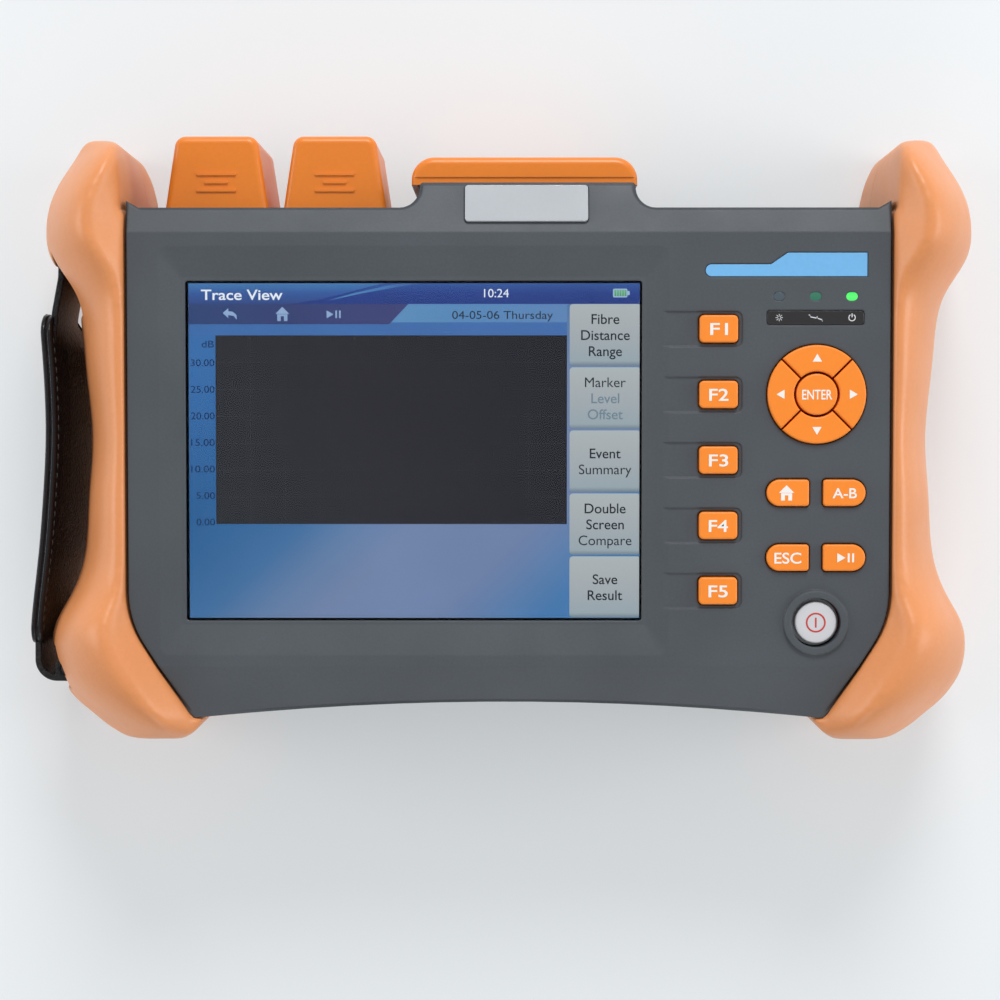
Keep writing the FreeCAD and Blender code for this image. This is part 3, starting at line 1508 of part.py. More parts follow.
def band(thick, low, high):
    """The strap's route given a thickness, standing on edge between two heights."""
    points = [Vector(-side_of_panel(out), y, 0) for out, y, r in STRAP_ROUTE]
    radii = [r for out, y, r in STRAP_ROUTE]
    near = []
    far = []
    for k, point in enumerate(points):
        before = (point - points[k - 1]).normalize() if k else None
        after = (points[k + 1] - point).normalize() if k + 1 < len(points) else None
        before = before or after
        after = after or before
        left = Vector(-before.y - after.y, before.x + after.x, 0).normalize()
        stretch = thick / 2 / left.dot(Vector(-before.y, before.x, 0))
        bend = before.cross(after).z
        lean = math.copysign(thick / 2, bend) if radii[k] else 0.0
        a = point + left * stretch
        b = point - left * stretch
        near.append((a.x, a.y, max(radii[k] - lean, 0.0)))
        far.append((b.x, b.y, max(radii[k] + lean, 0.0)))
    return prism(turned(near + far[::-1]), low, high)


def strap_room():
    """The pockets in the left bumper where the strap turns round its bars."""
    low = val("strap_low_z - 1")
    high = val("strap_high_z + 1")
    room = val("slot_room")
    reach = val("bar_radius + bar_fit + strap_thick")
    upper, lower = strap_ends()
    ring = reach + room
    first = Part.makeBox(2 * ring, 2 * ring + 10, high - low,
                         Vector(upper.x - ring, upper.y - ring - 10, low))
    second = Part.makeBox(2 * ring + 8, 2 * ring, high - low,
                          Vector(lower.x - ring - 8, lower.y - ring, low))
    bars = [bar_shape(place, val("bar_radius")) for place in (upper, lower)]
    return first.fuse([second] + bars)


def bar_shape(place, radius):
    low = val("strap_low_z - 1 - bar_bury")
    high = val("strap_high_z + 1 + bar_bury")
    return Part.makeCylinder(radius, high - low, Vector(place.x, place.y, low))


def hand_strap():
    low = val("strap_low_z")
    high = val("strap_high_z")
    thick = val("strap_thick")
    strap = band(thick, low, high)
    for place in strap_ends():
        inner = val("bar_radius + bar_fit")
        foot_ = Vector(place.x, place.y, low)
        ring = Part.makeCylinder(inner + thick, high - low, foot_)
        strap = strap.fuse(ring).cut(Part.makeCylinder(inner, high - low, foot_))
    solid_feature("hand_strap", strap.removeSplitter())
    fit = val("sleeve_fit")
    sleeve = band(val("sleeve_thick"), val("sleeve_low_z"), val("sleeve_high_z"))
    sleeve = sleeve.cut(band(thick + 2 * fit, low - 2 * fit, high + 2 * fit))
    top = val("sleeve_top_y")
    foot_y = val("sleeve_low_y")
    window = Part.makeBox(60, top - foot_y, 100, Vector(-side_of_panel(60), foot_y, 0))
    solid_feature("strap_sleeve", sleeve.common(window))
    bars = [bar_shape(place, val("bar_radius")) for place in strap_ends()]
    solid_feature("strap_bars", Part.Compound(bars))


# ---------------------------------------------------------------- build and write

def build():
    front_housing()
    rear_housing()
    housing_gasket()
    display()
    keys()
    key_circuit()
    lamps_and_plates()
    adapter("otdr_port", "port_left_x")
    adapter("vfl_port", "port_right_x")
    port_cover("left_port_cover", "port_left_x", "left")
    port_cover("right_port_cover", "port_right_x", "right")
    interface_flap()
    hinge_pins()
    main_board()
    sockets()
    optical_module()
    battery()
    screw_seat = "back_z + head_high + 6"
    screws("housing_screws", boss_places(), screw_seat, "screw_long", "head_high")
    screws("battery_door_screws", door_screws(), "back_z + door_gap + door_head_high",
           "door_screw_long", "door_head_high")
    kickstand()
    bumpers()
    hand_strap()
    doc.recompute()


NODES = [
    "front_housing", "rear_housing", "housing_gasket", "screen_window", "screen_seal",
    "lcd_module", "keypad_mat", "key_board", "enter_key", "power_button", "legend_plate",
    "model_plate", "badge_plate", "otdr_port", "vfl_port", "left_port_cover",
    "right_port_cover", "interface_flap", "port_cover_pins", "flap_pin", "main_board",
    "ethernet_socket", "usb_socket", "jack_socket", "optical_module", "battery_pack",
    "battery_door", "housing_screws", "battery_door_screws", "kickstand", "kickstand_pins",
    "left_front_bumper", "left_rear_bumper", "right_front_bumper", "right_rear_bumper",
    "hand_strap", "strap_sleeve", "strap_bars",
]
NODES += FKEYS + [row[0] for row in SIDE_KEYS + ARROWS + LAMPS]
CUTS = ("PartDesign::Pocket", "PartDesign::SubtractiveLoft", "PartDesign::LinearPattern")


def check():
    for item in doc.Objects:
        if "Invalid" in item.State or "Error" in item.State:
            raise RuntimeError("%s failed: %s" % (item.Name, item.State))
        if item.TypeId in CUTS and item.BaseFeature:
            if item.Shape.Volume > item.BaseFeature.Shape.Volume - 1e-3:
                raise RuntimeError(item.Name + " cuts nothing")


def write():
    for label in NODES:
        part = doc.getObjectsByLabel(label)[0]
        shape = part.Shape
        if shape.isNull() or not shape.isValid():
            raise RuntimeError(label + " has no valid shape")
        shape.exportStep("parts/%s.step" % label)
        print("%-22s %2d solids %9.0f mm3" % (label, len(shape.Solids), shape.Volume))


build()
check()
write()
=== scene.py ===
import json
import math

import bmesh
import bpy
import numpy
from mathutils import Matrix, Vector
from mathutils.bvhtree import BVHTree


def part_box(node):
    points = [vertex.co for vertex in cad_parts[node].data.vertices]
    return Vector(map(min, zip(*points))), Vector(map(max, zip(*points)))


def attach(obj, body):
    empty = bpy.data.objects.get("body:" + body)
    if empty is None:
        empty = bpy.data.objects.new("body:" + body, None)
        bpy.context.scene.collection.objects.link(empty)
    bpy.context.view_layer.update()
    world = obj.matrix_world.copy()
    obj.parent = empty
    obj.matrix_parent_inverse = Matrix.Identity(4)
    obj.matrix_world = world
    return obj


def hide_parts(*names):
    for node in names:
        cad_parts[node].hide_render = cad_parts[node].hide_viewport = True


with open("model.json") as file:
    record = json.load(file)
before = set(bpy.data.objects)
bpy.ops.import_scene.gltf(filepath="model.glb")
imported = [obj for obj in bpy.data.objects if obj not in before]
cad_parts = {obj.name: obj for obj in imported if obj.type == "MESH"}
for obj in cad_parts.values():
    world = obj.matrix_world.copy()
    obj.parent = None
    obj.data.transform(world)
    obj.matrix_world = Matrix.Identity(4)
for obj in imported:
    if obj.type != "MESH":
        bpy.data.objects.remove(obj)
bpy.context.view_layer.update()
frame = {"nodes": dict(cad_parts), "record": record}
mm = 0.001
scene = bpy.context.scene


def paint(red, green, blue):
    # a display colour, 0 to 255, as the linear colour that shaders take
    def linear(value):
        share = value / 255
        return share / 12.92 if share <= 0.04045 else ((share + 0.055) / 1.055) ** 2.4
    return (linear(red), linear(green), linear(blue), 1.0)


# camera, light and ground

studio = {
    "eye": (0.0, 4.6, 626.0),
    "aim": (-2.2, -16.3, 66.0),
    "lens": 77.4,
    "sky": 0.38,  # light that falls on things
    "shownSky": 0.8,  # what the camera and reflections see
    # place, diameter and power of each soft lamp
    "lamps": {
        "key": ((120.0, 1300.0, 1000.0), 700.0, 16.0),
        "right": ((1200.0, 0.0, 520.0), 700.0, 5.5),
        "left": ((-1200.0, 100.0, 520.0), 700.0, 4.5),
        "front": ((100.0, -1200.0, 480.0), 700.0, 2.8),
    },
    "floorLift": 0.36,  # how much lighter the camera sees it
    "floorSize": 9000.0,
    "floorBelow": 0.05,
    "floorColour": (238, 243, 246),
}


def addCamera():
    data = bpy.data.cameras.new("camera")
    data.lens = studio["lens"]
    data.clip_start = 0.01
    data.clip_end = 50.0
    camera = bpy.data.objects.new("camera", data)
    scene.collection.objects.link(camera)
    eye = Vector(studio["eye"]) * mm
    aim = Vector(studio["aim"]) * mm
    back = (eye - aim).normalized()
    across = Vector((0, 1, 0)).cross(back).normalized()
    turn = Matrix((across, back.cross(across), back)).transposed().to_4x4()
    camera.matrix_world = Matrix.Translation(eye) @ turn
    scene.camera = camera


def addLamp(name, place, size, power):
    data = bpy.data.lights.new(name, "AREA")
    data.shape = "DISK"
    data.size = size * mm
    data.energy = power
    lamp = bpy.data.objects.new(name, data)
    scene.collection.objects.link(lamp)
    spot = Vector(place) * mm
    lamp.matrix_world = Matrix.Translation(spot) @ (-spot).to_track_quat("-Z", "Y").to_matrix().to_4x4()


def lightPath(nodes, links):
    # 1 where the camera, a reflection or glass looks, 0 for light that falls on things
    path = nodes.new("ShaderNodeLightPath")
    total = path.outputs["Is Camera Ray"]
    for ray in ("Is Glossy Ray", "Is Transmission Ray"):
        add = nodes.new("ShaderNodeMath")
        add.operation = "MAXIMUM"
        links.new(total, add.inputs[0])
        links.new(path.outputs[ray], add.inputs[1])
        total = add.outputs[0]
    return total


def addSky():
    world = bpy.data.worlds.new("studio")
    world.use_nodes = True
    scene.world = world
    nodes = world.node_tree.nodes
    links = world.node_tree.links
    back = nodes["Background"]
    back.inputs["Color"].default_value = (1.0, 1.0, 1.0, 1.0)
    blend = nodes.new("ShaderNodeMapRange")
    blend.inputs["To Min"].default_value = studio["sky"]
    blend.inputs["To Max"].default_value = studio["shownSky"]
    links.new(lightPath(nodes, links), blend.inputs["Value"])
    links.new(blend.outputs["Result"], back.inputs["Strength"])


def addFloor():
    shape = bmesh.new()
    bmesh.ops.create_grid(shape, x_segments=1, y_segments=1, size=studio["floorSize"] / 2 * mm)
    bmesh.ops.translate(shape, verts=shape.verts, vec=(0, 0, -studio["floorBelow"] * mm))
    data = bpy.data.meshes.new("floor")
    shape.to_mesh(data)
    shape.free()
    floor = bpy.data.objects.new("floor", data)
    scene.collection.objects.link(floor)
    material, shader, at = startFinish("paleFloor")
    cloud = addNode(material, "TexNoise", {"Vector": at, "Scale": 3.0, "Detail": 4.0})
    tone = addNode(material, "ValToRGB", {"Fac": cloud.outputs["Fac"]})
    setStops(tone, [(0.3, [c * 0.985 for c in paint(*studio["floorColour"])]),
                    (0.7, paint(*studio["floorColour"]))])
    link(material, tone.outputs["Color"], shader.inputs["Base Color"])
    shader.inputs["Roughness"].default_value = 0.7
    # the camera sees it a little lighter, as a backdrop that glows
    nodes = material.node_tree.nodes
    shown = addNode(material, "Emission", {"Color": tone.outputs["Color"]})
    share = addNode(material, "Math", {
        0: nodes.new("ShaderNodeLightPath").outputs["Is Camera Ray"], 1: studio["floorLift"],
    }, operation="MULTIPLY")
    mix = addNode(material, "MixShader", {"Fac": share.outputs[0]})
    link(material, shader.outputs["BSDF"], mix.inputs[1])
    link(material, shown.outputs["Emission"], mix.inputs[2])
    link(material, mix.outputs["Shader"], nodes["Material Output"].inputs["Surface"])
    data.materials.append(material)


# material building blocks

def startFinish(name):
    material = bpy.data.materials.new(name)
    material.use_nodes = True
    nodes = material.node_tree.nodes
    nodes.clear()
    output = nodes.new("ShaderNodeOutputMaterial")
    shader = nodes.new("ShaderNodeBsdfPrincipled")
    coords = nodes.new("ShaderNodeTexCoord")
    link(material, shader.outputs["BSDF"], output.inputs["Surface"])
    return material, shader, coords.outputs["Object"]


def link(material, source, target):
    material.node_tree.links.new(source, target)


def addNode(material, kind, inputs, **settings):
    # a node of that kind, its inputs given as numbers or as other nodes' outputs
    node = material.node_tree.nodes.new("ShaderNode" + kind)
    for name, value in settings.items():
        setattr(node, name, value)
    for name, value in inputs.items():
        if isinstance(value, bpy.types.NodeSocket):
            link(material, value, node.inputs[name])
        else:
            node.inputs[name].default_value = value
    return node


def setStops(ramp, stops):
    elements = ramp.color_ramp.elements
    while len(elements) < len(stops):
        elements.new(0.5)
    for element, (position, colour) in zip(elements, stops):
        element.position = position
        element.color = colour


def spread(material, factor, low, high, edges=(0.3, 0.7)):
    # the factor's usual range, stretched to run from low to high
    return addNode(material, "MapRange", {
        "Value": factor, "From Min": edges[0], "From Max": edges[1], "To Min": low, "To Max": high,
    }).outputs["Result"]


def toned(material, colour, factor):
    # the colour made lighter or darker by the factor
    scaled = addNode(material, "VectorMath", {0: colour[:3], "Scale": factor}, operation="SCALE")
    return scaled.outputs["Vector"]


def mouldedFinish(name, look):
    # moulded plastic or rubber: uneven tone, fine grain, patchy gloss, soft edges
    material, shader, at = startFinish(name)
    cloud = addNode(material, "TexNoise", {"Vector": at, "Scale": look["cloud"], "Detail": 5.0})
    speck = addNode(material, "TexNoise", {"Vector": at, "Scale": look["speck"], "Detail": 2.0})
    tone = addNode(material, "Math", {
        0: spread(material, cloud.outputs["Fac"], 1 - look["spread"], 1 + look["spread"]),
        1: spread(material, speck.outputs["Fac"], 1 - look["spread"] / 2, 1 + look["spread"] / 2),
    }, operation="MULTIPLY")
    link(material, toned(material, paint(*look["colour"]), tone.outputs[0]), shader.inputs["Base Color"])
    patch = addNode(material, "TexNoise", {"Vector": at, "Scale": look["cloud"] * 2.3, "Detail": 6.0})
    gloss = spread(material, patch.outputs["Fac"], look["rough"] - look["roughSpread"],
                   look["rough"] + look["roughSpread"])
    link(material, gloss, shader.inputs["Roughness"])
    soft = addNode(material, "Bevel", {"Radius": look["round"] * mm}, samples=4)
    grain = addNode(material, "TexNoise", {"Vector": at, "Scale": look["grain"], "Detail": 2.0})
    bump = addNode(material, "Bump", {
        "Strength": look["grainStrength"], "Distance": look["grainDepth"] * mm,
        "Height": grain.outputs["Fac"], "Normal": soft.outputs["Normal"],
    })
    link(material, bump.outputs["Normal"], shader.inputs["Normal"])
    for socket, value in look.get("set", {}).items():
        shader.inputs[socket].default_value = value
    return material


def metalFinish(name, look):
    # turned or drawn metal, its fine lines across one axis
    material, shader, at = startFinish(name)
    cloud = addNode(material, "TexNoise", {"Vector": at, "Scale": 220.0, "Detail": 6.0})
    tone = spread(material, cloud.outputs["Fac"], 0.86, 1.06)
    link(material, toned(material, paint(*look["colour"]), tone), shader.inputs["Base Color"])
    link(material, spread(material, cloud.outputs["Fac"], look["rough"] * 0.75, look["rough"] * 1.3),
         shader.inputs["Roughness"])
    shader.inputs["Metallic"].default_value = 1.0
    turned = addNode(material, "TexWave", {"Vector": at, "Scale": look["lines"], "Distortion": 0.4},
                     bands_direction=look["along"])
    soft = addNode(material, "Bevel", {"Radius": 0.15 * mm}, samples=4)
    bump = addNode(material, "Bump", {
        "Strength": look["depth"], "Distance": 0.15 * mm, "Height": turned.outputs["Fac"],
        "Normal": soft.outputs["Normal"],
    })
    link(material, bump.outputs["Normal"], shader.inputs["Normal"])
    return material


def glowFinish(name, stops, toward, low, high, strength=1.0):
    # lit by the display behind it: a gradient in one direction, and a faint unevenness
    material, shader, at = startFinish(name)
    far = addNode(material, "VectorMath", {0: at, 1: (*toward, 0.0)}, operation="DOT_PRODUCT")
    run = spread(material, far.outputs["Value"], 0.0, 1.0, (low * mm, high * mm))
    ramp = addNode(material, "ValToRGB", {"Fac": run})
    setStops(ramp, stops)
    cloud = addNode(material, "TexNoise", {"Vector": at, "Scale": 45.0, "Detail": 3.0})
    even = addNode(material, "VectorMath", {
        0: ramp.outputs["Color"], "Scale": spread(material, cloud.outputs["Fac"], 0.95, 1.05),
    }, operation="SCALE")
    light(material, shader, even.outputs["Vector"], strength)
    return material


def light(material, shader, colour, strength):
    # black itself, so only its own light shows
    shader.inputs["Base Color"].default_value = (0.004, 0.004, 0.005, 1.0)
    shader.inputs["Specular IOR Level"].default_value = 0.0
    link(material, colour, shader.inputs["Emission Color"])
    shader.inputs["Emission Strength"].default_value = strength


def leatherFinish(name, look):
    # black leather: pebbles, finer creases between them, uneven gloss
    material, shader, at = startFinish(name)
    pebble = addNode(material, "TexVoronoi", {"Vector": at, "Scale": look["pebble"], "Smoothness": 0.6},
                     feature="SMOOTH_F1")
    crease = addNode(material, "TexNoise", {"Vector": at, "Scale": look["pebble"] * 2.5, "Detail": 4.0})
    height = addNode(material, "Math", {0: pebble.outputs["Distance"], 1: crease.outputs["Fac"]},
                     operation="ADD")
    cloud = addNode(material, "TexNoise", {"Vector": at, "Scale": 60.0, "Detail": 5.0})
    tone = spread(material, cloud.outputs["Fac"], 0.8, 1.25)
    link(material, toned(material, paint(*look["colour"]), tone), shader.inputs["Base Color"])
    link(material, spread(material, crease.outputs["Fac"], look["rough"] - 0.08, look["rough"] + 0.1),
         shader.inputs["Roughness"])
    shader.inputs["Specular IOR Level"].default_value = 0.24
    bump = addNode(material, "Bump", {
        "Strength": look["depth"], "Distance": 0.3 * mm, "Height": height.outputs[0],
    })
    link(material, bump.outputs["Normal"], shader.inputs["Normal"])
    return material


def clearFinish(name):
    # the screen's window, faintly smeared
    material, shader, at = startFinish(name)
    smear = addNode(material, "TexNoise", {"Vector": at, "Scale": 40.0, "Detail": 8.0})
    link(material, spread(material, smear.outputs["Fac"], 0.0, 0.014), shader.inputs["Roughness"])
    shader.inputs["Base Color"].default_value = (0.97, 0.98, 0.98, 1.0)
    shader.inputs["Transmission Weight"].default_value = 1.0
    shader.inputs["IOR"].default_value = 1.2
    return material


def boardFinish(name):
    # green board with paler tracks
    material, shader, at = startFinish(name)
    tracks = addNode(material, "TexBrick", {
        "Vector": at, "Scale": 260.0, "Mortar Size": 0.03, "Color1": paint(18, 86, 48),
        "Color2": paint(22, 96, 54), "Mortar": paint(52, 134, 84),
    })
    link(material, tracks.outputs["Color"], shader.inputs["Base Color"])
    cloud = addNode(material, "TexNoise", {"Vector": at, "Scale": 300.0})
    link(material, spread(material, cloud.outputs["Fac"], 0.3, 0.45), shader.inputs["Roughness"])
    bump = addNode(material, "Bump", {
        "Strength": 0.3, "Distance": 0.05 * mm, "Height": tracks.outputs["Fac"],
    })
    link(material, bump.outputs["Normal"], shader.inputs["Normal"])
    return material


plastic = {
    "cloud": 28.0, "speck": 900.0, "spread": 0.05, "rough": 0.45, "roughSpread": 0.05,
    "grain": 2600.0, "grainStrength": 0.35, "grainDepth": 0.05, "round": 0.3,
}
looks = {
    "housing": {"colour": (69, 75, 81), "rough": 0.48, "roughSpread": 0.08, "speck": 1500.0, "spread": 0.1,
                "round": 0.7},
    "bumper_rubber": {"colour": (228, 148, 92), "rough": 0.4, "spread": 0.035, "grainStrength": 0.25,
                      "round": 0.3},
    "seal_rubber": {"colour": (32, 32, 34), "rough": 0.7},
    "key_rubber": {"colour": (252, 141, 40), "rough": 0.42, "spread": 0.03, "round": 0.3},
    "power_cap": {"colour": (210, 211, 215), "rough": 0.3, "spread": 0.02},
    "mat": {"colour": (226, 88, 30), "rough": 0.6},
    "lamp_off": {"colour": (70, 84, 94), "rough": 0.2},
    "badge": {"colour": (182, 187, 193), "rough": 0.12, "spread": 0.02, "grainStrength": 0.03,
              "set": {"Coat Weight": 1.0, "Coat Roughness": 0.03}},
    "model_label": {"colour": (116, 184, 236), "rough": 0.32, "spread": 0.04},
    "legend_label": {"colour": (24, 24, 27), "rough": 0.22},
    "black_plastic": {"colour": (26, 26, 28), "rough": 0.4},
    "module_case": {"colour": (150, 152, 156), "rough": 0.35, "set": {"Metallic": 0.8}},
    "battery_case": {"colour": (38, 60, 120), "rough": 0.3},
    "cover_plastic": {"colour": (234, 130, 36), "rough": 0.34, "spread": 0.03, "round": 0.12},
}
finishes = {}


def inkFinish(name, colour, rough=0.5):
    return mouldedFinish(name, {**plastic, "colour": colour, "rough": rough, "roughSpread": 0.04,
                                "spread": 0.02, "round": 0.02})


def makeFinishes():
    for slot, look in looks.items():
        finishes[slot] = mouldedFinish(slot, {**plastic, **look})
    finishes["window"] = clearFinish("window")
    finishes["board"] = boardFinish("board")
    finishes["adapter_metal"] = metalFinish("adapter_metal", {
        "colour": (206, 206, 210), "rough": 0.26, "lines": 1100.0, "along": "Y", "depth": 0.5})
    finishes["socket_metal"] = metalFinish("socket_metal", {
        "colour": (196, 198, 202), "rough": 0.3, "lines": 300.0, "along": "X", "depth": 0.05})
    finishes["steel"] = metalFinish("steel", {
        "colour": (62, 62, 66), "rough": 0.36, "lines": 900.0, "along": "Z", "depth": 0.1})
    finishes["lcd"] = metalFinish("lcd", {
        "colour": (190, 192, 196), "rough": 0.35, "lines": 200.0, "along": "X", "depth": 0.05})
    finishes["lamp_dim"] = glowFinish("lamp_dim", [(0.0, paint(60, 120, 100)), (1.0, paint(74, 134, 110))],
                                      (0, 1), 35.0, 38.0, 0.9)
    finishes["lamp_on"] = glowFinish("lamp_on", [(0.0, paint(60, 235, 100)), (0.5, paint(96, 250, 116)),
                                                 (1.0, paint(60, 235, 100))], (0, 1), 35.0, 38.0, 1.25)
    finishes["strap_leather"] = leatherFinish("strap_leather", {
        "colour": (17, 17, 19), "pebble": 1000.0, "rough": 0.32, "depth": 1.0})
    finishes["pipingLeather"] = leatherFinish("pipingLeather", {
        "colour": (20, 20, 24), "pebble": 1400.0, "rough": 0.22, "depth": 0.2})
    finishes["thread"] = inkFinish("thread", (58, 56, 60), 0.6)


def dressNodes():
    for part in frame["record"]["subparts"]:
        node = frame["nodes"][part["node"]]
        node.data.materials.clear()
        node.data.materials.append(finishes[part["material_slot"]])


# shapes

def toPiece(shape, name, finish, body, sharp=35.0):
    # the finished mesh as a piece that rides on a body
    bmesh.ops.remove_doubles(shape, verts=shape.verts, dist=0.0005 * mm)
    bmesh.ops.recalc_face_normals(shape, faces=shape.faces)
    data = bpy.data.meshes.new(name)
    shape.to_mesh(data)
    shape.free()
    for material in finish if isinstance(finish, list) else [finish]:
        data.materials.append(material)
    data.polygons.foreach_set("use_smooth", [True] * len(data.polygons))
    data.set_sharp_from_angle(angle=math.radians(sharp))
    piece = bpy.data.objects.new(name, data)
    scene.collection.objects.link(piece)
    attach(piece, body)
    return piece


def addPlate(shape, corners, low, thick, finish=0):
    # a flat plate with this outline, its corners in millimetres
    verts = [shape.verts.new((x * mm, y * mm, low * mm)) for x, y in corners]
    face = shape.faces.new(verts)
    face.normal_update()
    if face.normal.z < 0:
        face.normal_flip()
    made = bmesh.ops.extrude_face_region(shape, geom=[face])
    top = [v for v in made["geom"] if isinstance(v, bmesh.types.BMVert)]
    bmesh.ops.translate(shape, verts=top, vec=(0, 0, thick * mm))
    for touched in {f for v in top + verts for f in v.link_faces}:
        touched.material_index = finish
    return verts + top


def addRing(shape, x, y, outer, inner, low, thick, start=0.0, sweep=360.0, steps=40, finish=0):
    # a flat ring, or the part of one from start through sweep degrees
    profile = [(outer, low), (outer, low + thick), (inner, low + thick), (inner, low)]
    centre = Vector((x, y, 0)) * mm
    turn = Matrix.Rotation(math.radians(start), 3, "Z")
    verts = [shape.verts.new(centre + turn @ (Vector((r, 0, z)) * mm)) for r, z in profile]
    edges = [shape.edges.new((verts[k], verts[(k + 1) % 4])) for k in range(4)]
    whole = abs(sweep) >= 360.0
    made = bmesh.ops.spin(shape, geom=edges + verts, cent=centre, axis=(0, 0, 1), steps=steps,
                          angle=math.radians(sweep), use_merge=whole)
    if not whole:
        shape.faces.new(verts)
        last = [e for e in made["geom_last"] if isinstance(e, bmesh.types.BMEdge)]
        bmesh.ops.contextual_create(shape, geom=last)
    for face in shape.faces:
        if face.material_index == 0 and finish:
            if (face.calc_center_median().xy - centre.xy).length < (outer + 0.1) * mm:
                face.material_index = finish


def addWords(shape, words, x, y, low, high, wide=None, thick=0.05, bold=0.0, align="CENTER",
             finish=0):
    # lettering of this capital height, squeezed to this width where one is given
    data = bpy.data.curves.new("words", "FONT")
    data.body = words
    data.offset = bold
    data.extrude = 0.5
    maker = bpy.data.objects.new("words", data)
    scene.collection.objects.link(maker)
    bpy.context.view_layer.update()
    mesh = bpy.data.meshes.new_from_object(maker.evaluated_get(bpy.context.evaluated_depsgraph_get()))
    xs = [v.co.x for v in mesh.vertices]
    left, right = min(xs), max(xs)
    capital = 0.729  # of the typeface's own size
    up = high / capital
    across = wide / (right - left) if wide else up
    anchor = {"LEFT": left, "CENTER": (left + right) / 2, "RIGHT": right}[align]
    place = Matrix.Translation(Vector((x, y, low + thick / 2)) * mm)
    size = Matrix.Diagonal((across * mm, up * mm, thick * mm, 1.0))
    shift = Matrix.Translation((-anchor, -capital / 2, 0))
    mesh.transform(place @ size @ shift)
    before = len(shape.faces)
    shape.from_mesh(mesh)
    shape.faces.ensure_lookup_table()
    for face in shape.faces[before:]:
        face.material_index = finish
    bpy.data.objects.remove(maker)
    bpy.data.curves.remove(data)
    bpy.data.meshes.remove(mesh)


def rowOf(corners, x, y, size=1.0, turn=0.0):
    # an outline drawn about the origin, put at a place
    angle = math.radians(turn)
    return [(x + size * (a * math.cos(angle) - b * math.sin(angle)),
             y + size * (a * math.sin(angle) + b * math.cos(angle))) for a, b in corners]


arrowHead = [(-0.5, -0.43), (0.5, -0.43), (0.0, 0.43)]
backArrow = [(-0.5, 0.1), (-0.1, 0.45), (-0.1, 0.22), (0.2, 0.2), (0.5, -0.05), (0.52, -0.4), (0.3, -0.12),
             (-0.1, -0.05), (-0.1, -0.28)]


def addHouse(shape, x, y, low, size, thick, finish=0):
    # a roof, and three blocks under it that leave a doorway
    addPlate(shape, rowOf([(-0.5, 0.0), (0.5, 0.0), (0.0, 0.5)], x, y, size), low, thick, finish)
    eaves = -0.02
    for x0, x1, foot in ((-0.36, -0.11, -0.5), (0.11, 0.36, -0.5), (-0.11, 0.11, -0.16)):
        addPlate(shape, rowOf([(x0, foot), (x1, foot), (x1, eaves), (x0, eaves)], x, y, size), low, thick,
                 finish)


def addPlayPause(shape, x, y, low, size, thick, finish=0):
    addPlate(shape, rowOf(arrowHead, x - 0.45 * size, y, size * 0.95, -90), low, thick, finish)
    for place in (0.28, 0.72):
        bar = rowOf([(-0.1, -0.45), (0.1, -0.45), (0.1, 0.45), (-0.1, 0.45)], x + place * size, y, size)
        addPlate(shape, bar, low, thick, finish)


def rounded(x0, y0, x1, y1, radius, steps=5):
    # a rectangle's outline with round corners
    corners = []
    for x, y, first in ((x1 - radius, y0 + radius, -90), (x1 - radius, y1 - radius, 0),
                        (x0 + radius, y1 - radius, 90), (x0 + radius, y0 + radius, 180)):
        for k in range(steps + 1):
            angle = math.radians(first + 90 * k / steps)
            corners.append((x + radius * math.cos(angle), y + radius * math.sin(angle)))
    return corners


# display picture

screen = {
    # across from the left edge and down from the top one
    "layer": 0.04, "thick": 0.02, "sunk": 0.29, "wide": 119.0, "tall": 88.8,
    "header": 5.9, "menu": 11.2, "menuEnd": (53.0, 58.0), "band": 10.7, "bandEnd": 99.6, "strip": 14.1,
    "plotLeft": 7.4, "plotRight": 99.6, "plotLow": 63.6,
    "columns": 10, "rows": 7, "stepX": 9.13, "stepY": 7.07, "gridHalf": 0.07, "dashes": 12,
    "tabLeft": 100.3, "tabTop": 5.9, "tabPitch": 16.55, "tabHigh": 16.1, "tabCorner": 0.9,
    "tabLetters": 2.7, "tabLine": 4.2, "titleLetters": 2.8, "clockLetters": 2.3, "dateLetters": 2.2,
    "scale": ["30.00", "25.00", "20.00", "15.00", "10.00", "5.00", "0.00"],
    "scaleTop": 21.2, "scaleStep": 6.97, "scaleRight": 7.1, "scaleLetters": 1.9,
    "iconRow": 8.6, "iconPlaces": (11.2, 25.0, 38.5), "battery": (111.6, 115.4, 1.9, 4.2),
    "tabs": [["Fibre", "Distance", "Range"], ["Marker", "Level", "Offset"], ["Event", "Summary"],
             ["Double", "Screen", "Compare"], ["Save", "Result"]],
    "swoosh": [(0.0, 0.0), (54.0, 0.0), (48.0, 1.3), (42.0, 2.9), (35.0, 4.6), (27.0, 5.9), (0.0, 5.9)],
    "sweep": [(64.0, 0.0), (60.0, 0.0), (52.0, 1.2), (44.0, 3.0), (37.0, 5.0), (46.0, 3.1), (56.0, 1.3)],
    # the wallpaper's slanting light, along this direction from a place on the screen
    "slant": (0.68, -0.73), "slantFrom": (47.1, 64.1), "slantRange": (-64.0, 49.0),
}


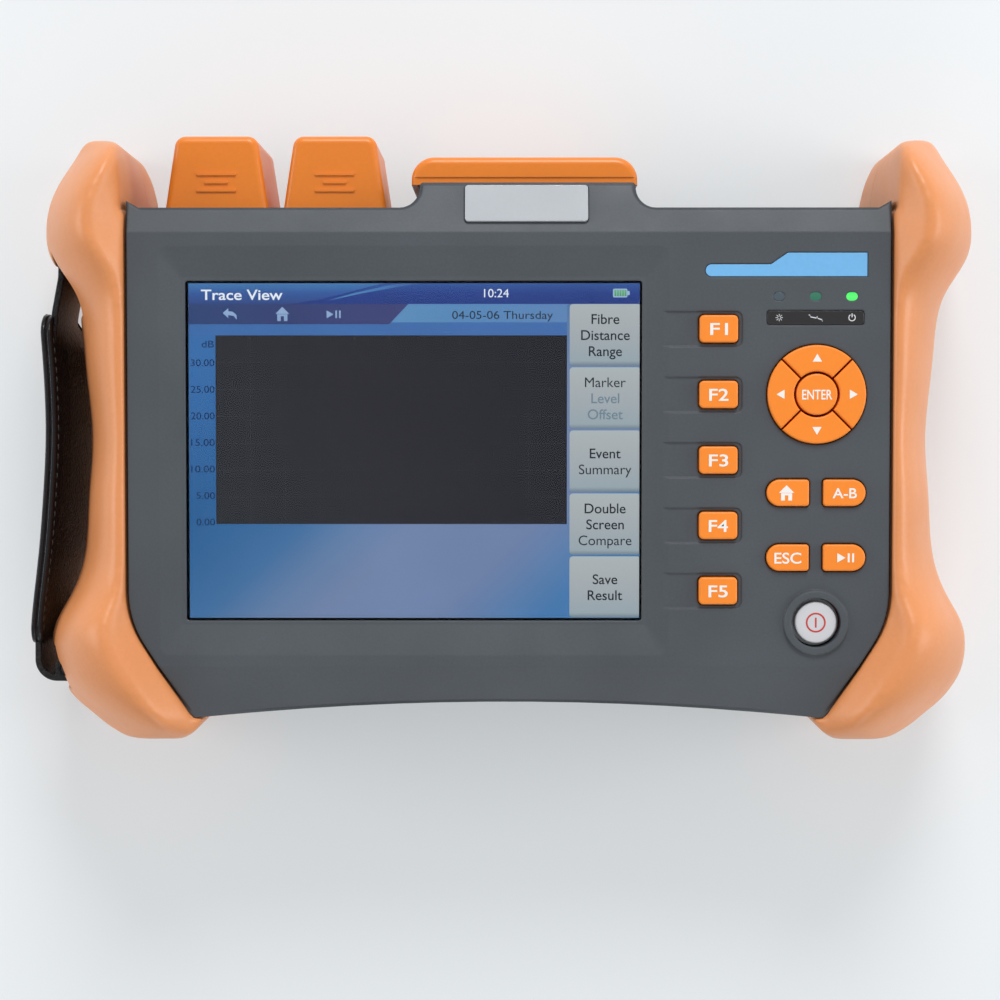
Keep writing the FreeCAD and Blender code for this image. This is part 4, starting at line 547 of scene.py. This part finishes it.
def makeScreen():
    low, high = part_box("lcd_module")
    wide, tall = screen["wide"], screen["tall"]
    left = (low.x + high.x) / 2 / mm - wide / 2
    top = (low.y + high.y) / 2 / mm + tall / 2
    floor = high.z / mm - screen["sunk"]
    thin = screen["thick"]

    def panel(shape, x0, y0, x1, y1, layer, finish=0, slant=0.0):
        corners = [(left + x0, top - y1), (left + x1 + slant, top - y1), (left + x1, top - y0),
                   (left + x0, top - y0)]
        addPlate(shape, corners, level(layer), thin, finish)

    def level(layer):
        return floor + layer * screen["layer"]

    def glow(name, toward, low, high, *colours):
        stops = [(k / (len(colours) - 1), paint(*colour)) for k, colour in enumerate(colours)]
        return glowFinish(name, stops, toward, low, high)

    across, up = (1, 0), (0, 1)
    ax, ay = screen["slant"]
    start = (left + screen["slantFrom"][0]) * ax + (top - screen["slantFrom"][1]) * ay
    first, last = screen["slantRange"]
    wallpaper = [(-64.0, (52, 105, 165)), (-48.0, (45, 98, 155)), (-33.0, (39, 94, 148)),
                 (-24.0, (45, 99, 151)), (-12.0, (62, 110, 160)), (-2.0, (94, 124, 165)),
                 (8.0, (110, 130, 168)), (30.0, (108, 128, 168)), (40.0, (88, 124, 170)),
                 (49.0, (66, 119, 173))]
    finish = {
        "field": glowFinish("screenField", [((far - first) / (last - first), paint(*colour))
                                            for far, colour in wallpaper],
                            screen["slant"], start + first, start + last),
        "header": glow("screenHeader", up, top - screen["header"], top, (34, 57, 128), (38, 64, 134),
                       (54, 90, 156)),
        "swoosh": glow("screenSwoosh", up, top - screen["header"], top, (46, 70, 128), (50, 88, 152),
                       (68, 122, 176)),
        "sweep": glow("screenSweep", across, left + 37, left + 64, (84, 138, 186), (70, 118, 176),
                      (54, 82, 148)),
        "menu": glow("screenMenu", across, left, left + 55, (44, 66, 114), (50, 62, 110), (60, 66, 116)),
        "band": glow("screenBand", across, left + 50, left + 99, (92, 142, 188), (84, 132, 180),
                     (92, 132, 182)),
        "strip": glow("screenStrip", across, left, left + 99, (58, 104, 164), (66, 108, 170)),
        "plot": glow("screenPlot", (0.94, 0.34), left, left + 96, (37, 40, 45), (35, 35, 43),
                     (29, 30, 38)),
        "grid": glow("screenGrid", across, left, left + 96, (70, 76, 82), (66, 70, 76)),
        "light": glow("screenLight", up, top - tall, top, (214, 224, 236), (222, 230, 240)),
        "icon": glow("screenIcon", up, top - 11, top - 5, (128, 156, 196), (150, 178, 210)),
        "dark": glow("screenDark", up, top - tall, top, (26, 32, 40), (30, 38, 50)),
        "label": glow("screenLabel", up, top - tall, top, (14, 38, 76), (18, 42, 80)),
        "grey": glow("screenGrey", up, top - tall, top, (104, 124, 138), (112, 132, 146)),
        "green": glow("screenGreen", up, top - 4, top - 1, (70, 150, 84), (130, 196, 140)),
    }

    def screenPiece(shape, name, *names):
        toPiece(shape, name, [finish[n] for n in names], "case")

    shape = bmesh.new()
    panel(shape, 0.0, 0.0, wide, tall, 0)
    screenPiece(shape, "screen_field", "field")

    shape = bmesh.new()
    panel(shape, 0.0, 0.0, wide, screen["header"], 1, 0)
    for k, outline in enumerate((screen["swoosh"], screen["sweep"])):
        addPlate(shape, [(left + x, top - y) for x, y in outline], level(2 + k), thin, 4 + k)
    panel(shape, 0.0, screen["header"], screen["menuEnd"][1], screen["menu"], 2, 1,
          slant=screen["menuEnd"][0] - screen["menuEnd"][1])
    panel(shape, screen["menuEnd"][0], screen["header"], screen["bandEnd"], screen["band"], 1, 2)
    panel(shape, 0.0, screen["band"], screen["bandEnd"], screen["strip"], 1, 3)
    screenPiece(shape, "screen_bars", "header", "menu", "band", "strip", "swoosh", "sweep")

    shape = bmesh.new()
    panel(shape, screen["plotLeft"], screen["strip"], screen["plotRight"], screen["plotLow"], 2)
    screenPiece(shape, "screen_plot", "plot")

    # dotted lines, one dash in two left out
    shape = bmesh.new()
    dash = screen["stepX"] / screen["dashes"]
    half = screen["gridHalf"]
    for k in range(1, screen["columns"]):
        x = screen["plotLeft"] + k * screen["stepX"]
        for n in range(int((screen["plotLow"] - screen["strip"]) / dash / 2)):
            y = screen["strip"] + (2 * n + 0.5) * dash
            panel(shape, x - half, y, x + half, y + dash, 3)
    for k in range(1, screen["rows"]):
        y = screen["strip"] + k * screen["stepY"]
        for n in range(int((screen["plotRight"] - screen["plotLeft"]) / dash / 2)):
            x = screen["plotLeft"] + (2 * n + 0.5) * dash
            panel(shape, x, y - half, x + dash, y + half, 4)
    screenPiece(shape, "screen_grid", "grid")

    shape = bmesh.new()
    for k in range(len(screen["tabs"])):
        y0 = screen["tabTop"] + k * screen["tabPitch"]
        addPlate(shape, rounded(left + screen["tabLeft"], top - y0 - screen["tabHigh"], left + wide,
                                top - y0, screen["tabCorner"]), level(1), thin)
    toPiece(shape, "screen_tabs", tabFinish(top - screen["tabTop"]), "case")

    shape = bmesh.new()
    middle = left + (screen["tabLeft"] + wide) / 2
    for k, lines in enumerate(screen["tabs"]):
        mid = top - screen["tabTop"] - k * screen["tabPitch"] - screen["tabHigh"] / 2
        for n, words in enumerate(lines):
            y = mid + ((len(lines) - 1) / 2 - n) * screen["tabLine"]
            bold = 0.0 if "m" in words.lower() else 0.008  # a bold m fills in
            addWords(shape, words, middle, y, level(2), screen["tabLetters"], thick=thin, bold=bold,
                     finish=1 if k == 1 and n else 0)
    screenPiece(shape, "screen_tab_words", "dark", "grey")

    shape = bmesh.new()
    addWords(shape, "Trace View", left + 3.7, top - 3.4, level(4), screen["titleLetters"], wide=21.4,
             thick=thin, bold=0.012, align="LEFT")
    addWords(shape, "10:24", left + 81.1, top - 3.0, level(4), screen["clockLetters"], wide=6.5, thick=thin)
    addWords(shape, "04-05-06 Thursday", left + 82.7, top - 8.7, level(3), screen["dateLetters"], wide=26.4,
             thick=thin, finish=1)
    back, house, play = screen["iconPlaces"]
    row = top - screen["iconRow"]
    addPlate(shape, rowOf(backArrow, left + back, row, 3.6), level(4), thin, 2)
    addHouse(shape, left + house, row + 0.1, level(4), 3.7, thin, 2)
    addPlayPause(shape, left + play, row, level(4), 2.2, thin, 2)
    small = screen["scaleLetters"]
    addWords(shape, "dB", left + 7.0, top - 16.3, level(2), small, wide=3.2, thick=thin, align="RIGHT",
             finish=3)
    for k, words in enumerate(screen["scale"]):
        y = top - screen["scaleTop"] - k * screen["scaleStep"]
        addWords(shape, words, left + screen["scaleRight"], y, level(2), small,
                 wide=6.2 if len(words) == 5 else 4.9, thick=thin, align="RIGHT", finish=3)
    # battery: its case, its small end and five green cells
    x0, x1, y0, y1 = screen["battery"]
    addPlate(shape, rounded(left + x0, top - y1, left + x1, top - y0, 0.4), level(2), thin, 2)
    addPlate(shape, rounded(left + x1, top - 3.6, left + x1 + 0.6, top - 2.5, 0.2), level(2), thin, 2)
    for k in range(5):
        x = x0 + 0.4 + k * 0.66
        panel(shape, x, y0 + 0.35, x + 0.5, y1 - 0.35, 3, 4)
    screenPiece(shape, "screen_words", "light", "dark", "icon", "label", "green")


def tabFinish(top):
    # every tab runs from a light upper edge to a darker lower one
    material, shader, at = startFinish("screenTabs")
    parts = addNode(material, "SeparateXYZ", {"Vector": at})
    down = addNode(material, "Math", {0: top * mm, 1: parts.outputs["Y"]}, operation="SUBTRACT")
    turns = addNode(material, "Math", {0: down.outputs[0], 1: screen["tabPitch"] * mm}, operation="DIVIDE")
    share = addNode(material, "Math", {0: turns.outputs[0]}, operation="FRACT")
    ramp = addNode(material, "ValToRGB", {"Fac": share.outputs[0]})
    setStops(ramp, [(0.0, paint(168, 180, 184)), (0.08, paint(170, 177, 180)), (0.5, paint(162, 170, 175)),
                    (0.9, paint(150, 164, 172)), (0.97, paint(112, 130, 142))])
    light(material, shader, ramp.outputs["Color"], 1.0)
    return material


# printed legends

ink = {
    "thick": 0.06, "sunk": 0.02, "colour": (246, 244, 240), "red": (196, 62, 60), "icons": (226, 228, 230),
    "bold": 0.012, "arrow": 2.4, "arrowReach": 9.5,
    # capital height and width of each word
    "words": {"f1": ("F1", 3.2, 4.6), "f2": ("F2", 3.2, 5.0), "f3": ("F3", 3.2, 5.0),
              "f4": ("F4", 3.2, 5.0), "f5": ("F5", 3.2, 5.0), "enter": ("ENTER", 2.6, 7.8),
              "ab": ("A-B", 2.7, 6.3), "esc": ("ESC", 2.9, 7.0)},
    "powerRing": (2.6, 2.15), "powerBar": [(-0.22, -1.3), (0.22, -1.3), (0.22, 1.3), (-0.22, 1.3)],
}


def keyTop(node):
    low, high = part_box(node)
    return (low.x + high.x) / 2 / mm, (low.y + high.y) / 2 / mm, high.z / mm - ink["sunk"]


def makeLegends():
    white = inkFinish("whiteInk", ink["colour"])
    thick = ink["thick"]

    def legend(shape, name):
        toPiece(shape, name + "_legend", white, name + "_key")

    for name, (words, high, wide) in ink["words"].items():
        x, y, top = keyTop(name + "_key")
        shape = bmesh.new()
        addWords(shape, words, x, y, top, high, wide=wide, thick=thick, bold=ink["bold"])
        legend(shape, name)
    x, y, top = keyTop("home_key")
    shape = bmesh.new()
    addHouse(shape, x - 0.4, y, top, 4.0, thick)
    legend(shape, "home")
    x, y, top = keyTop("run_key")
    shape = bmesh.new()
    addPlayPause(shape, x + 0.4, y, top, 2.6, thick)
    legend(shape, "run")
    middle = keyTop("enter_key")
    for name, turn in (("up", 0), ("left", 90), ("down", 180), ("right", 270)):
        angle = math.radians(turn + 90)
        x = middle[0] + ink["arrowReach"] * math.cos(angle)
        y = middle[1] + ink["arrowReach"] * math.sin(angle)
        shape = bmesh.new()
        addPlate(shape, rowOf(arrowHead, x, y, ink["arrow"], turn), keyTop(name + "_key")[2], thick)
        legend(shape, name)
    x, y, top = keyTop("power_button")
    shape = bmesh.new()
    addRing(shape, x, y, *ink["powerRing"], top, thick, steps=48)
    addPlate(shape, rowOf(ink["powerBar"], x, y), top, thick)
    toPiece(shape, "power_legend", inkFinish("redInk", ink["red"]), "power_button")


def makeLampIcons():
    # a burst, a decaying trace and a power ring, under the lamps they belong to
    white = inkFinish("iconInk", ink["icons"])
    low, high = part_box("legend_plate")
    y = (low.y + high.y) / 2 / mm
    top = high.z / mm - ink["sunk"]
    thick = ink["thick"]
    burst, decay, power = [sum(corner.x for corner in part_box(name)) / 2 / mm
                           for name in ("fault_lamp", "test_lamp", "power_lamp")]
    shape = bmesh.new()
    ray = [(0.3, -0.07), (0.95, -0.07), (0.95, 0.07), (0.3, 0.07)]
    for k in range(8):
        addPlate(shape, rowOf(ray, burst, y, 1.0, 45 * k), top, thick)
    trace = [(-1.8, 0.8), (-1.5, 0.8), (-1.3, 0.3), (0.2, 0.0), (0.4, 0.5), (0.6, -0.1), (1.6, -0.4),
             (1.8, -0.9)]
    under = [(x, h - 0.24) for x, h in reversed(trace)]
    addPlate(shape, rowOf(trace + under, decay, y), top, thick)
    addRing(shape, power, y, 0.95, 0.72, top, thick, start=120, sweep=300, steps=24)
    addPlate(shape, rowOf([(-0.12, 0.1), (0.12, 0.1), (0.12, 1.1), (-0.12, 1.1)], power, y), top, thick)
    toPiece(shape, "lamp_icons", white, "case")


# hand strap

strap = {
    # out from the housing's side and up the front, along the middle of the strap's thickness
    "route": [(20.6, 43.0), (22.6, 38.0), (23.9, 33.5), (24.3, 29.0), (23.6, 21.0), (23.0, 9.0),
              (22.9, -2.0), (23.8, -16.0), (24.9, -30.0), (26.4, -42.0), (27.5, -52.0), (27.6, -60.0)],
    "sleeveTop": 33.0, "sleeveLow": -56.5, "stations": 140, "corner": 6.0,
    "edge": 1.0, "seam": 1.15, "puff": 0.5,  # half the sleeve's thickness, and how far its pad swells
    "piping": 0.75, "stitchIn": 3.0, "stitchEnd": 2.0, "stitchOut": 1.2, "stitchPitch": 2.6,
    "stitchLong": 1.9, "stitchThick": 0.22,
    "lean": 0.125, "easeTop": 0.1, "easeLow": 0.3,  # the lean's share of height, and where it fades out
    "rim": 0.45, "barPast": 0.4,
}


def routeLine():
    # the strap's own smooth line, read from a spline through its route
    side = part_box("front_housing")[0].x / mm
    data = bpy.data.curves.new("route", "CURVE")
    data.dimensions = "3D"
    data.resolution_u = 24
    spline = data.splines.new("NURBS")
    spline.points.add(len(strap["route"]) - 1)
    for point, (out, y) in zip(spline.points, strap["route"]):
        point.co = ((side - out) * mm, y * mm, 0.0, 1.0)
    spline.order_u = 4
    spline.use_endpoint_u = True
    maker = bpy.data.objects.new("route", data)
    scene.collection.objects.link(maker)
    bpy.context.view_layer.update()
    mesh = bpy.data.meshes.new_from_object(maker.evaluated_get(bpy.context.evaluated_depsgraph_get()))
    points = [v.co.copy() for v in mesh.vertices]
    bpy.data.objects.remove(maker)
    bpy.data.curves.remove(data)
    bpy.data.meshes.remove(mesh)
    return points


def between(points, top, low, count):
    # evenly spaced places on the line between two heights, each with its direction
    kept = [p for p in points if low * mm <= p.y <= top * mm]
    runs = [0.0]
    for a, b in zip(kept, kept[1:]):
        runs.append(runs[-1] + (b - a).length)
    places = []
    for k in range(count):
        goal = runs[-1] * k / (count - 1)
        n = max(i for i in range(len(runs) - 1) if runs[i] <= goal or i == 0)
        share = (goal - runs[n]) / (runs[n + 1] - runs[n])
        along = (kept[n + 1] - kept[n]).normalized()
        places.append((kept[n].lerp(kept[n + 1], min(share, 1.0)), along, goal / runs[-1]))
    return places


def outward(along):
    # square to the line, on the side away from the housing
    out = Vector((-along.y, along.x, 0.0))
    return -out if out.x > 0 else out


def lean(height, share):
    # the lower edge lies nearer the housing, but not at the strap's ends
    ease = min(1.0, share / strap["easeTop"], (1 - share) / strap["easeLow"])
    return strap["lean"] * ease * (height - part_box("strap_sleeve")[1].z / mm)


def cornered(height, share):
    # heights draw in towards the middle at both ends, so the sleeve's corners are round
    low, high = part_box("strap_sleeve")
    middle, half = (low.z + high.z) / 2 / mm, (high.z - low.z) / 2 / mm
    left = strap["corner"] - min(share, 1 - share) * (strap["sleeveTop"] - strap["sleeveLow"])
    lost = strap["corner"] - math.sqrt(strap["corner"] ** 2 - max(0.0, left) ** 2)
    return middle + (height - middle) * (1 - lost / half)


def sweep(shape, profile, places):
    # a closed profile of (out, up) points, drawn along the line and closed at its ends
    def stand(place, along, share):
        out = outward(along)
        return [place + out * ((a + lean(b, share)) * mm) + Vector((0, 0, cornered(b, share) * mm))
                for a, b in profile]

    first = [shape.verts.new(co) for co in stand(*places[0])]
    edges = [shape.edges.new((first[k], first[(k + 1) % len(first)])) for k in range(len(first))]
    shape.faces.new(first)
    for spot in places[1:]:
        made = bmesh.ops.extrude_edge_only(shape, edges=edges)["geom"]
        verts = [v for v in made if isinstance(v, bmesh.types.BMVert)]
        goals = stand(*spot)
        order = {}
        for old in first:
            for edge in old.link_edges:
                other = edge.other_vert(old)
                if other in verts:
                    order[old] = other
        first = [order[old] for old in first]
        for vert, goal in zip(first, goals):
            vert.co = goal
        edges = [shape.edges.get((first[k], first[(k + 1) % len(first)])) for k in range(len(first))]
    shape.faces.new(first)


def makeStrap():
    points = routeLine()
    low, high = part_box("strap_sleeve")
    foot, head = low.z / mm, high.z / mm
    middle = (foot + head) / 2
    half = (head - foot) / 2
    leather = finishes["strap_leather"]
    places = between(points, strap["sleeveTop"], strap["sleeveLow"], strap["stations"])

    # two leather faces over a thin pad, drawn in at the stitched edges
    seam, puff = strap["seam"], strap["puff"]
    face = [(strap["edge"], half - 0.6), (seam, half - 2.0), (seam, half - 3.0),
            (seam + puff * 0.6, half - 6.0), (seam + puff, half * 0.35)]
    side = face + [(a, -b) for a, b in reversed(face)]
    profile = [(a, middle + b) for a, b in side] + [(-a, middle + b) for a, b in reversed(side)]
    shape = bmesh.new()
    sweep(shape, profile, places)
    sleeve = toPiece(shape, "strap_pad", leather, "case", sharp=60.0)
    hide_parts("strap_sleeve")

    # a cord of piping along both edges of both faces
    cord = strap["piping"]
    ring = [(cord * math.cos(k * math.pi / 5), cord * math.sin(k * math.pi / 5)) for k in range(10)]
    shape = bmesh.new()
    for level in (middle + half - cord, middle - half + cord):
        for out in (cord, -cord):
            sweep(shape, [(a + out, b + level) for a, b in ring], places)
    toPiece(shape, "strap_piping", finishes["pipingLeather"], "case", sharp=60.0)

    # a row of stitches beside each cord
    shape = bmesh.new()
    long = sum((b[0] - a[0]).length for a, b in zip(places, places[1:]))
    count = int(long / mm / strap["stitchPitch"])
    fine = strap["stitchThick"] * mm
    size = Matrix.Diagonal((strap["stitchLong"] / 2 * mm, fine, fine, 1.0))
    spots = between(points, strap["sleeveTop"] - strap["stitchEnd"], strap["sleeveLow"] + strap["stitchEnd"],
                    count)
    for place, along, share in spots:
        out = outward(along)
        turn = Matrix((along, out, Vector((0, 0, 1)))).transposed().to_4x4()
        for level in (middle + half - strap["stitchIn"], middle - half + strap["stitchIn"]):
            up = Vector((0, 0, cornered(level, share)))
            for side in (strap["stitchOut"], -strap["stitchOut"]):
                spot = place + (out * (side + lean(level, share)) + up) * mm
                bmesh.ops.create_icosphere(shape, subdivisions=1, radius=1.0,
                                           matrix=Matrix.Translation(spot) @ turn @ size)
    toPiece(shape, "strap_stitches", finishes["thread"], "case", sharp=80.0)

    # the strap itself, its edges rounded
    copy = bmesh.new()
    copy.from_mesh(frame["nodes"]["hand_strap"].data)
    bmesh.ops.remove_doubles(copy, verts=copy.verts, dist=0.001 * mm)
    bmesh.ops.dissolve_limit(copy, angle_limit=math.radians(1), verts=copy.verts, edges=copy.edges)
    rims = [e for e in copy.edges if len(e.link_faces) == 2 and e.calc_face_angle() > math.radians(50)]
    bmesh.ops.bevel(copy, geom=rims, offset=strap["rim"] * mm, segments=3, profile=0.5, affect="EDGES",
                    material=-1)
    webbing = toPiece(copy, "strap_band", leather, "case")
    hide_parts("hand_strap")

    # the bars end just past the strap, since the softened bumper has less room for buried ends
    low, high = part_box("hand_strap")
    copy = bmesh.new()
    copy.from_mesh(frame["nodes"]["strap_bars"].data)
    for vert in copy.verts:
        vert.co.z = min(max(vert.co.z, low.z - strap["barPast"] * mm), high.z + strap["barPast"] * mm)
    bars = toPiece(copy, "strap_bar_pins", finishes["steel"], "case", sharp=40.0)
    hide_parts("strap_bars")


# rubber bumpers: each side's two halves as one soft form, parted again at the housing joint

rubber = {
    # the rounding's strength grows from least to full between near and far from the housing
    "cell": 0.9, "rounds": 80, "pull": 0.5, "back": -0.4, "near": 1.0, "far": 5.0, "least": 0.05,
    "seam": 0.1,
    # how far the ear's inner wall moves outward at each distance up the front, less towards the top
    "ear": ((60.0, -1.0), (66.0, -0.6), (71.0, 0.6), (74.0, 1.7), (77.6, 3.4), (80.0, 1.8), (83.0, 0.0)),
    "earInner": 101.3, "earOuter": 112.0, "earTop": 66.0, "earTopLess": 0.75,
    # and how much lower its tip is at each distance from the middle
    "tip": ((98.0, 0.4), (104.0, 1.2), (108.0, 1.3), (111.0, 1.1), (114.0, 1.0), (116.2, 1.4), (119.4, 0.8),
            (124.0, 0.0)),
    "tipFrom": 72.0, "tipTo": 82.0,
}


def joined(*names):
    shape = bmesh.new()
    for name in names:
        shape.from_mesh(frame["nodes"][name].data)
    return shape


def evened(shape, cell):
    # the same closed form in even cells
    data = bpy.data.meshes.new("rough")
    shape.to_mesh(data)
    shape.free()
    maker = bpy.data.objects.new("rough", data)
    scene.collection.objects.link(maker)
    change = maker.modifiers.new("cells", "REMESH")
    change.mode = "VOXEL"
    change.voxel_size = cell * mm
    bpy.context.view_layer.update()
    mesh = bpy.data.meshes.new_from_object(maker.evaluated_get(bpy.context.evaluated_depsgraph_get()))
    bpy.data.objects.remove(maker)
    bpy.data.meshes.remove(data)
    return mesh


def makeBumper(side):
    names = [side + "_front_bumper", side + "_rear_bumper"]
    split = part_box(names[0])[0].z
    shape = joined(*names)
    bmesh.ops.remove_doubles(shape, verts=shape.verts, dist=0.01 * mm)
    parting = [f for f in shape.faces if all(abs(v.co.z - split) < 0.01 * mm for v in f.verts)]
    bmesh.ops.delete(shape, geom=parting, context="FACES")
    mesh = evened(shape, rubber["cell"])
    count = len(mesh.vertices)
    spots = numpy.empty(count * 3)
    mesh.vertices.foreach_get("co", spots)
    spots = spots.reshape(-1, 3)
    pairs = numpy.empty(len(mesh.edges) * 2, dtype=int)
    mesh.edges.foreach_get("vertices", pairs)
    a, b = pairs.reshape(-1, 2).T

    # the ear's inner wall follows its curve, and its tip narrows to a round end
    out = numpy.abs(spots[:, 0])
    inner, outer = rubber["earInner"] * mm, rubber["earOuter"] * mm
    share = numpy.clip((outer - out) / (outer - inner), 0, 1)
    rows = numpy.array(rubber["ear"]) * mm
    shift = numpy.interp(spots[:, 1], rows[:, 0], rows[:, 1], left=0.0)
    shift *= 1 - rubber["earTopLess"] * numpy.clip(spots[:, 2] / (rubber["earTop"] * mm), 0, 1)
    rows = numpy.array(rubber["tip"]) * mm
    drop = numpy.interp(out, rows[:, 0], rows[:, 1])
    low, high = rubber["tipFrom"] * mm, rubber["tipTo"] * mm
    spots[:, 0] += numpy.sign(spots[:, 0]) * share * shift
    spots[:, 1] -= drop * numpy.clip((spots[:, 1] - low) / (high - low), 0, 1)

    # rounded all over, least where it fits the housing
    housing = joined("front_housing", "rear_housing")
    tree = BVHTree.FromBMesh(housing)
    gaps = numpy.array([tree.find_nearest(Vector(spot))[3] for spot in spots]) / mm
    housing.free()
    loose = (gaps - rubber["near"]) / (rubber["far"] - rubber["near"])
    loose = numpy.clip(loose, rubber["least"], 1)[:, None]
    ways = numpy.bincount(a, minlength=count) + numpy.bincount(b, minlength=count)
    for step in (rubber["pull"], rubber["back"]) * rubber["rounds"]:
        sums = [numpy.bincount(a, spots[b, k], count) + numpy.bincount(b, spots[a, k], count)
                for k in range(3)]
        mean = numpy.stack(sums, axis=1) / ways[:, None]
        spots += step * loose * (mean - spots)
    spots[:, 2] = numpy.maximum(spots[:, 2], 0.0)
    mesh.vertices.foreach_set("co", spots.ravel())

    for name, way in zip(names, (1, -1)):
        half = bmesh.new()
        half.from_mesh(mesh)
        bmesh.ops.bisect_plane(half, geom=half.verts[:] + half.edges[:] + half.faces[:],
                               plane_co=(0, 0, split + way * rubber["seam"] * mm), plane_no=(0, 0, way),
                               clear_inner=True)
        bmesh.ops.holes_fill(half, edges=[e for e in half.edges if len(e.link_faces) == 1], sides=0)
        piece = toPiece(half, name + "_rubber", finishes["bumper_rubber"], "case",
                        sharp=60.0)
        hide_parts(name)
    bpy.data.meshes.remove(mesh)


# build

addCamera()
addSky()
for name, (place, size, power) in studio["lamps"].items():
    addLamp(name, place, size, power)
addFloor()
makeFinishes()
dressNodes()
print("finishes on", len(frame["nodes"]), "nodes")
makeScreen()
print("screen picture made")
makeLegends()
makeLampIcons()
print("legends made")
makeStrap()
print("strap made")
for side in ("left", "right"):
    makeBumper(side)
print("bumpers made")

scene.view_settings.view_transform = "Standard"
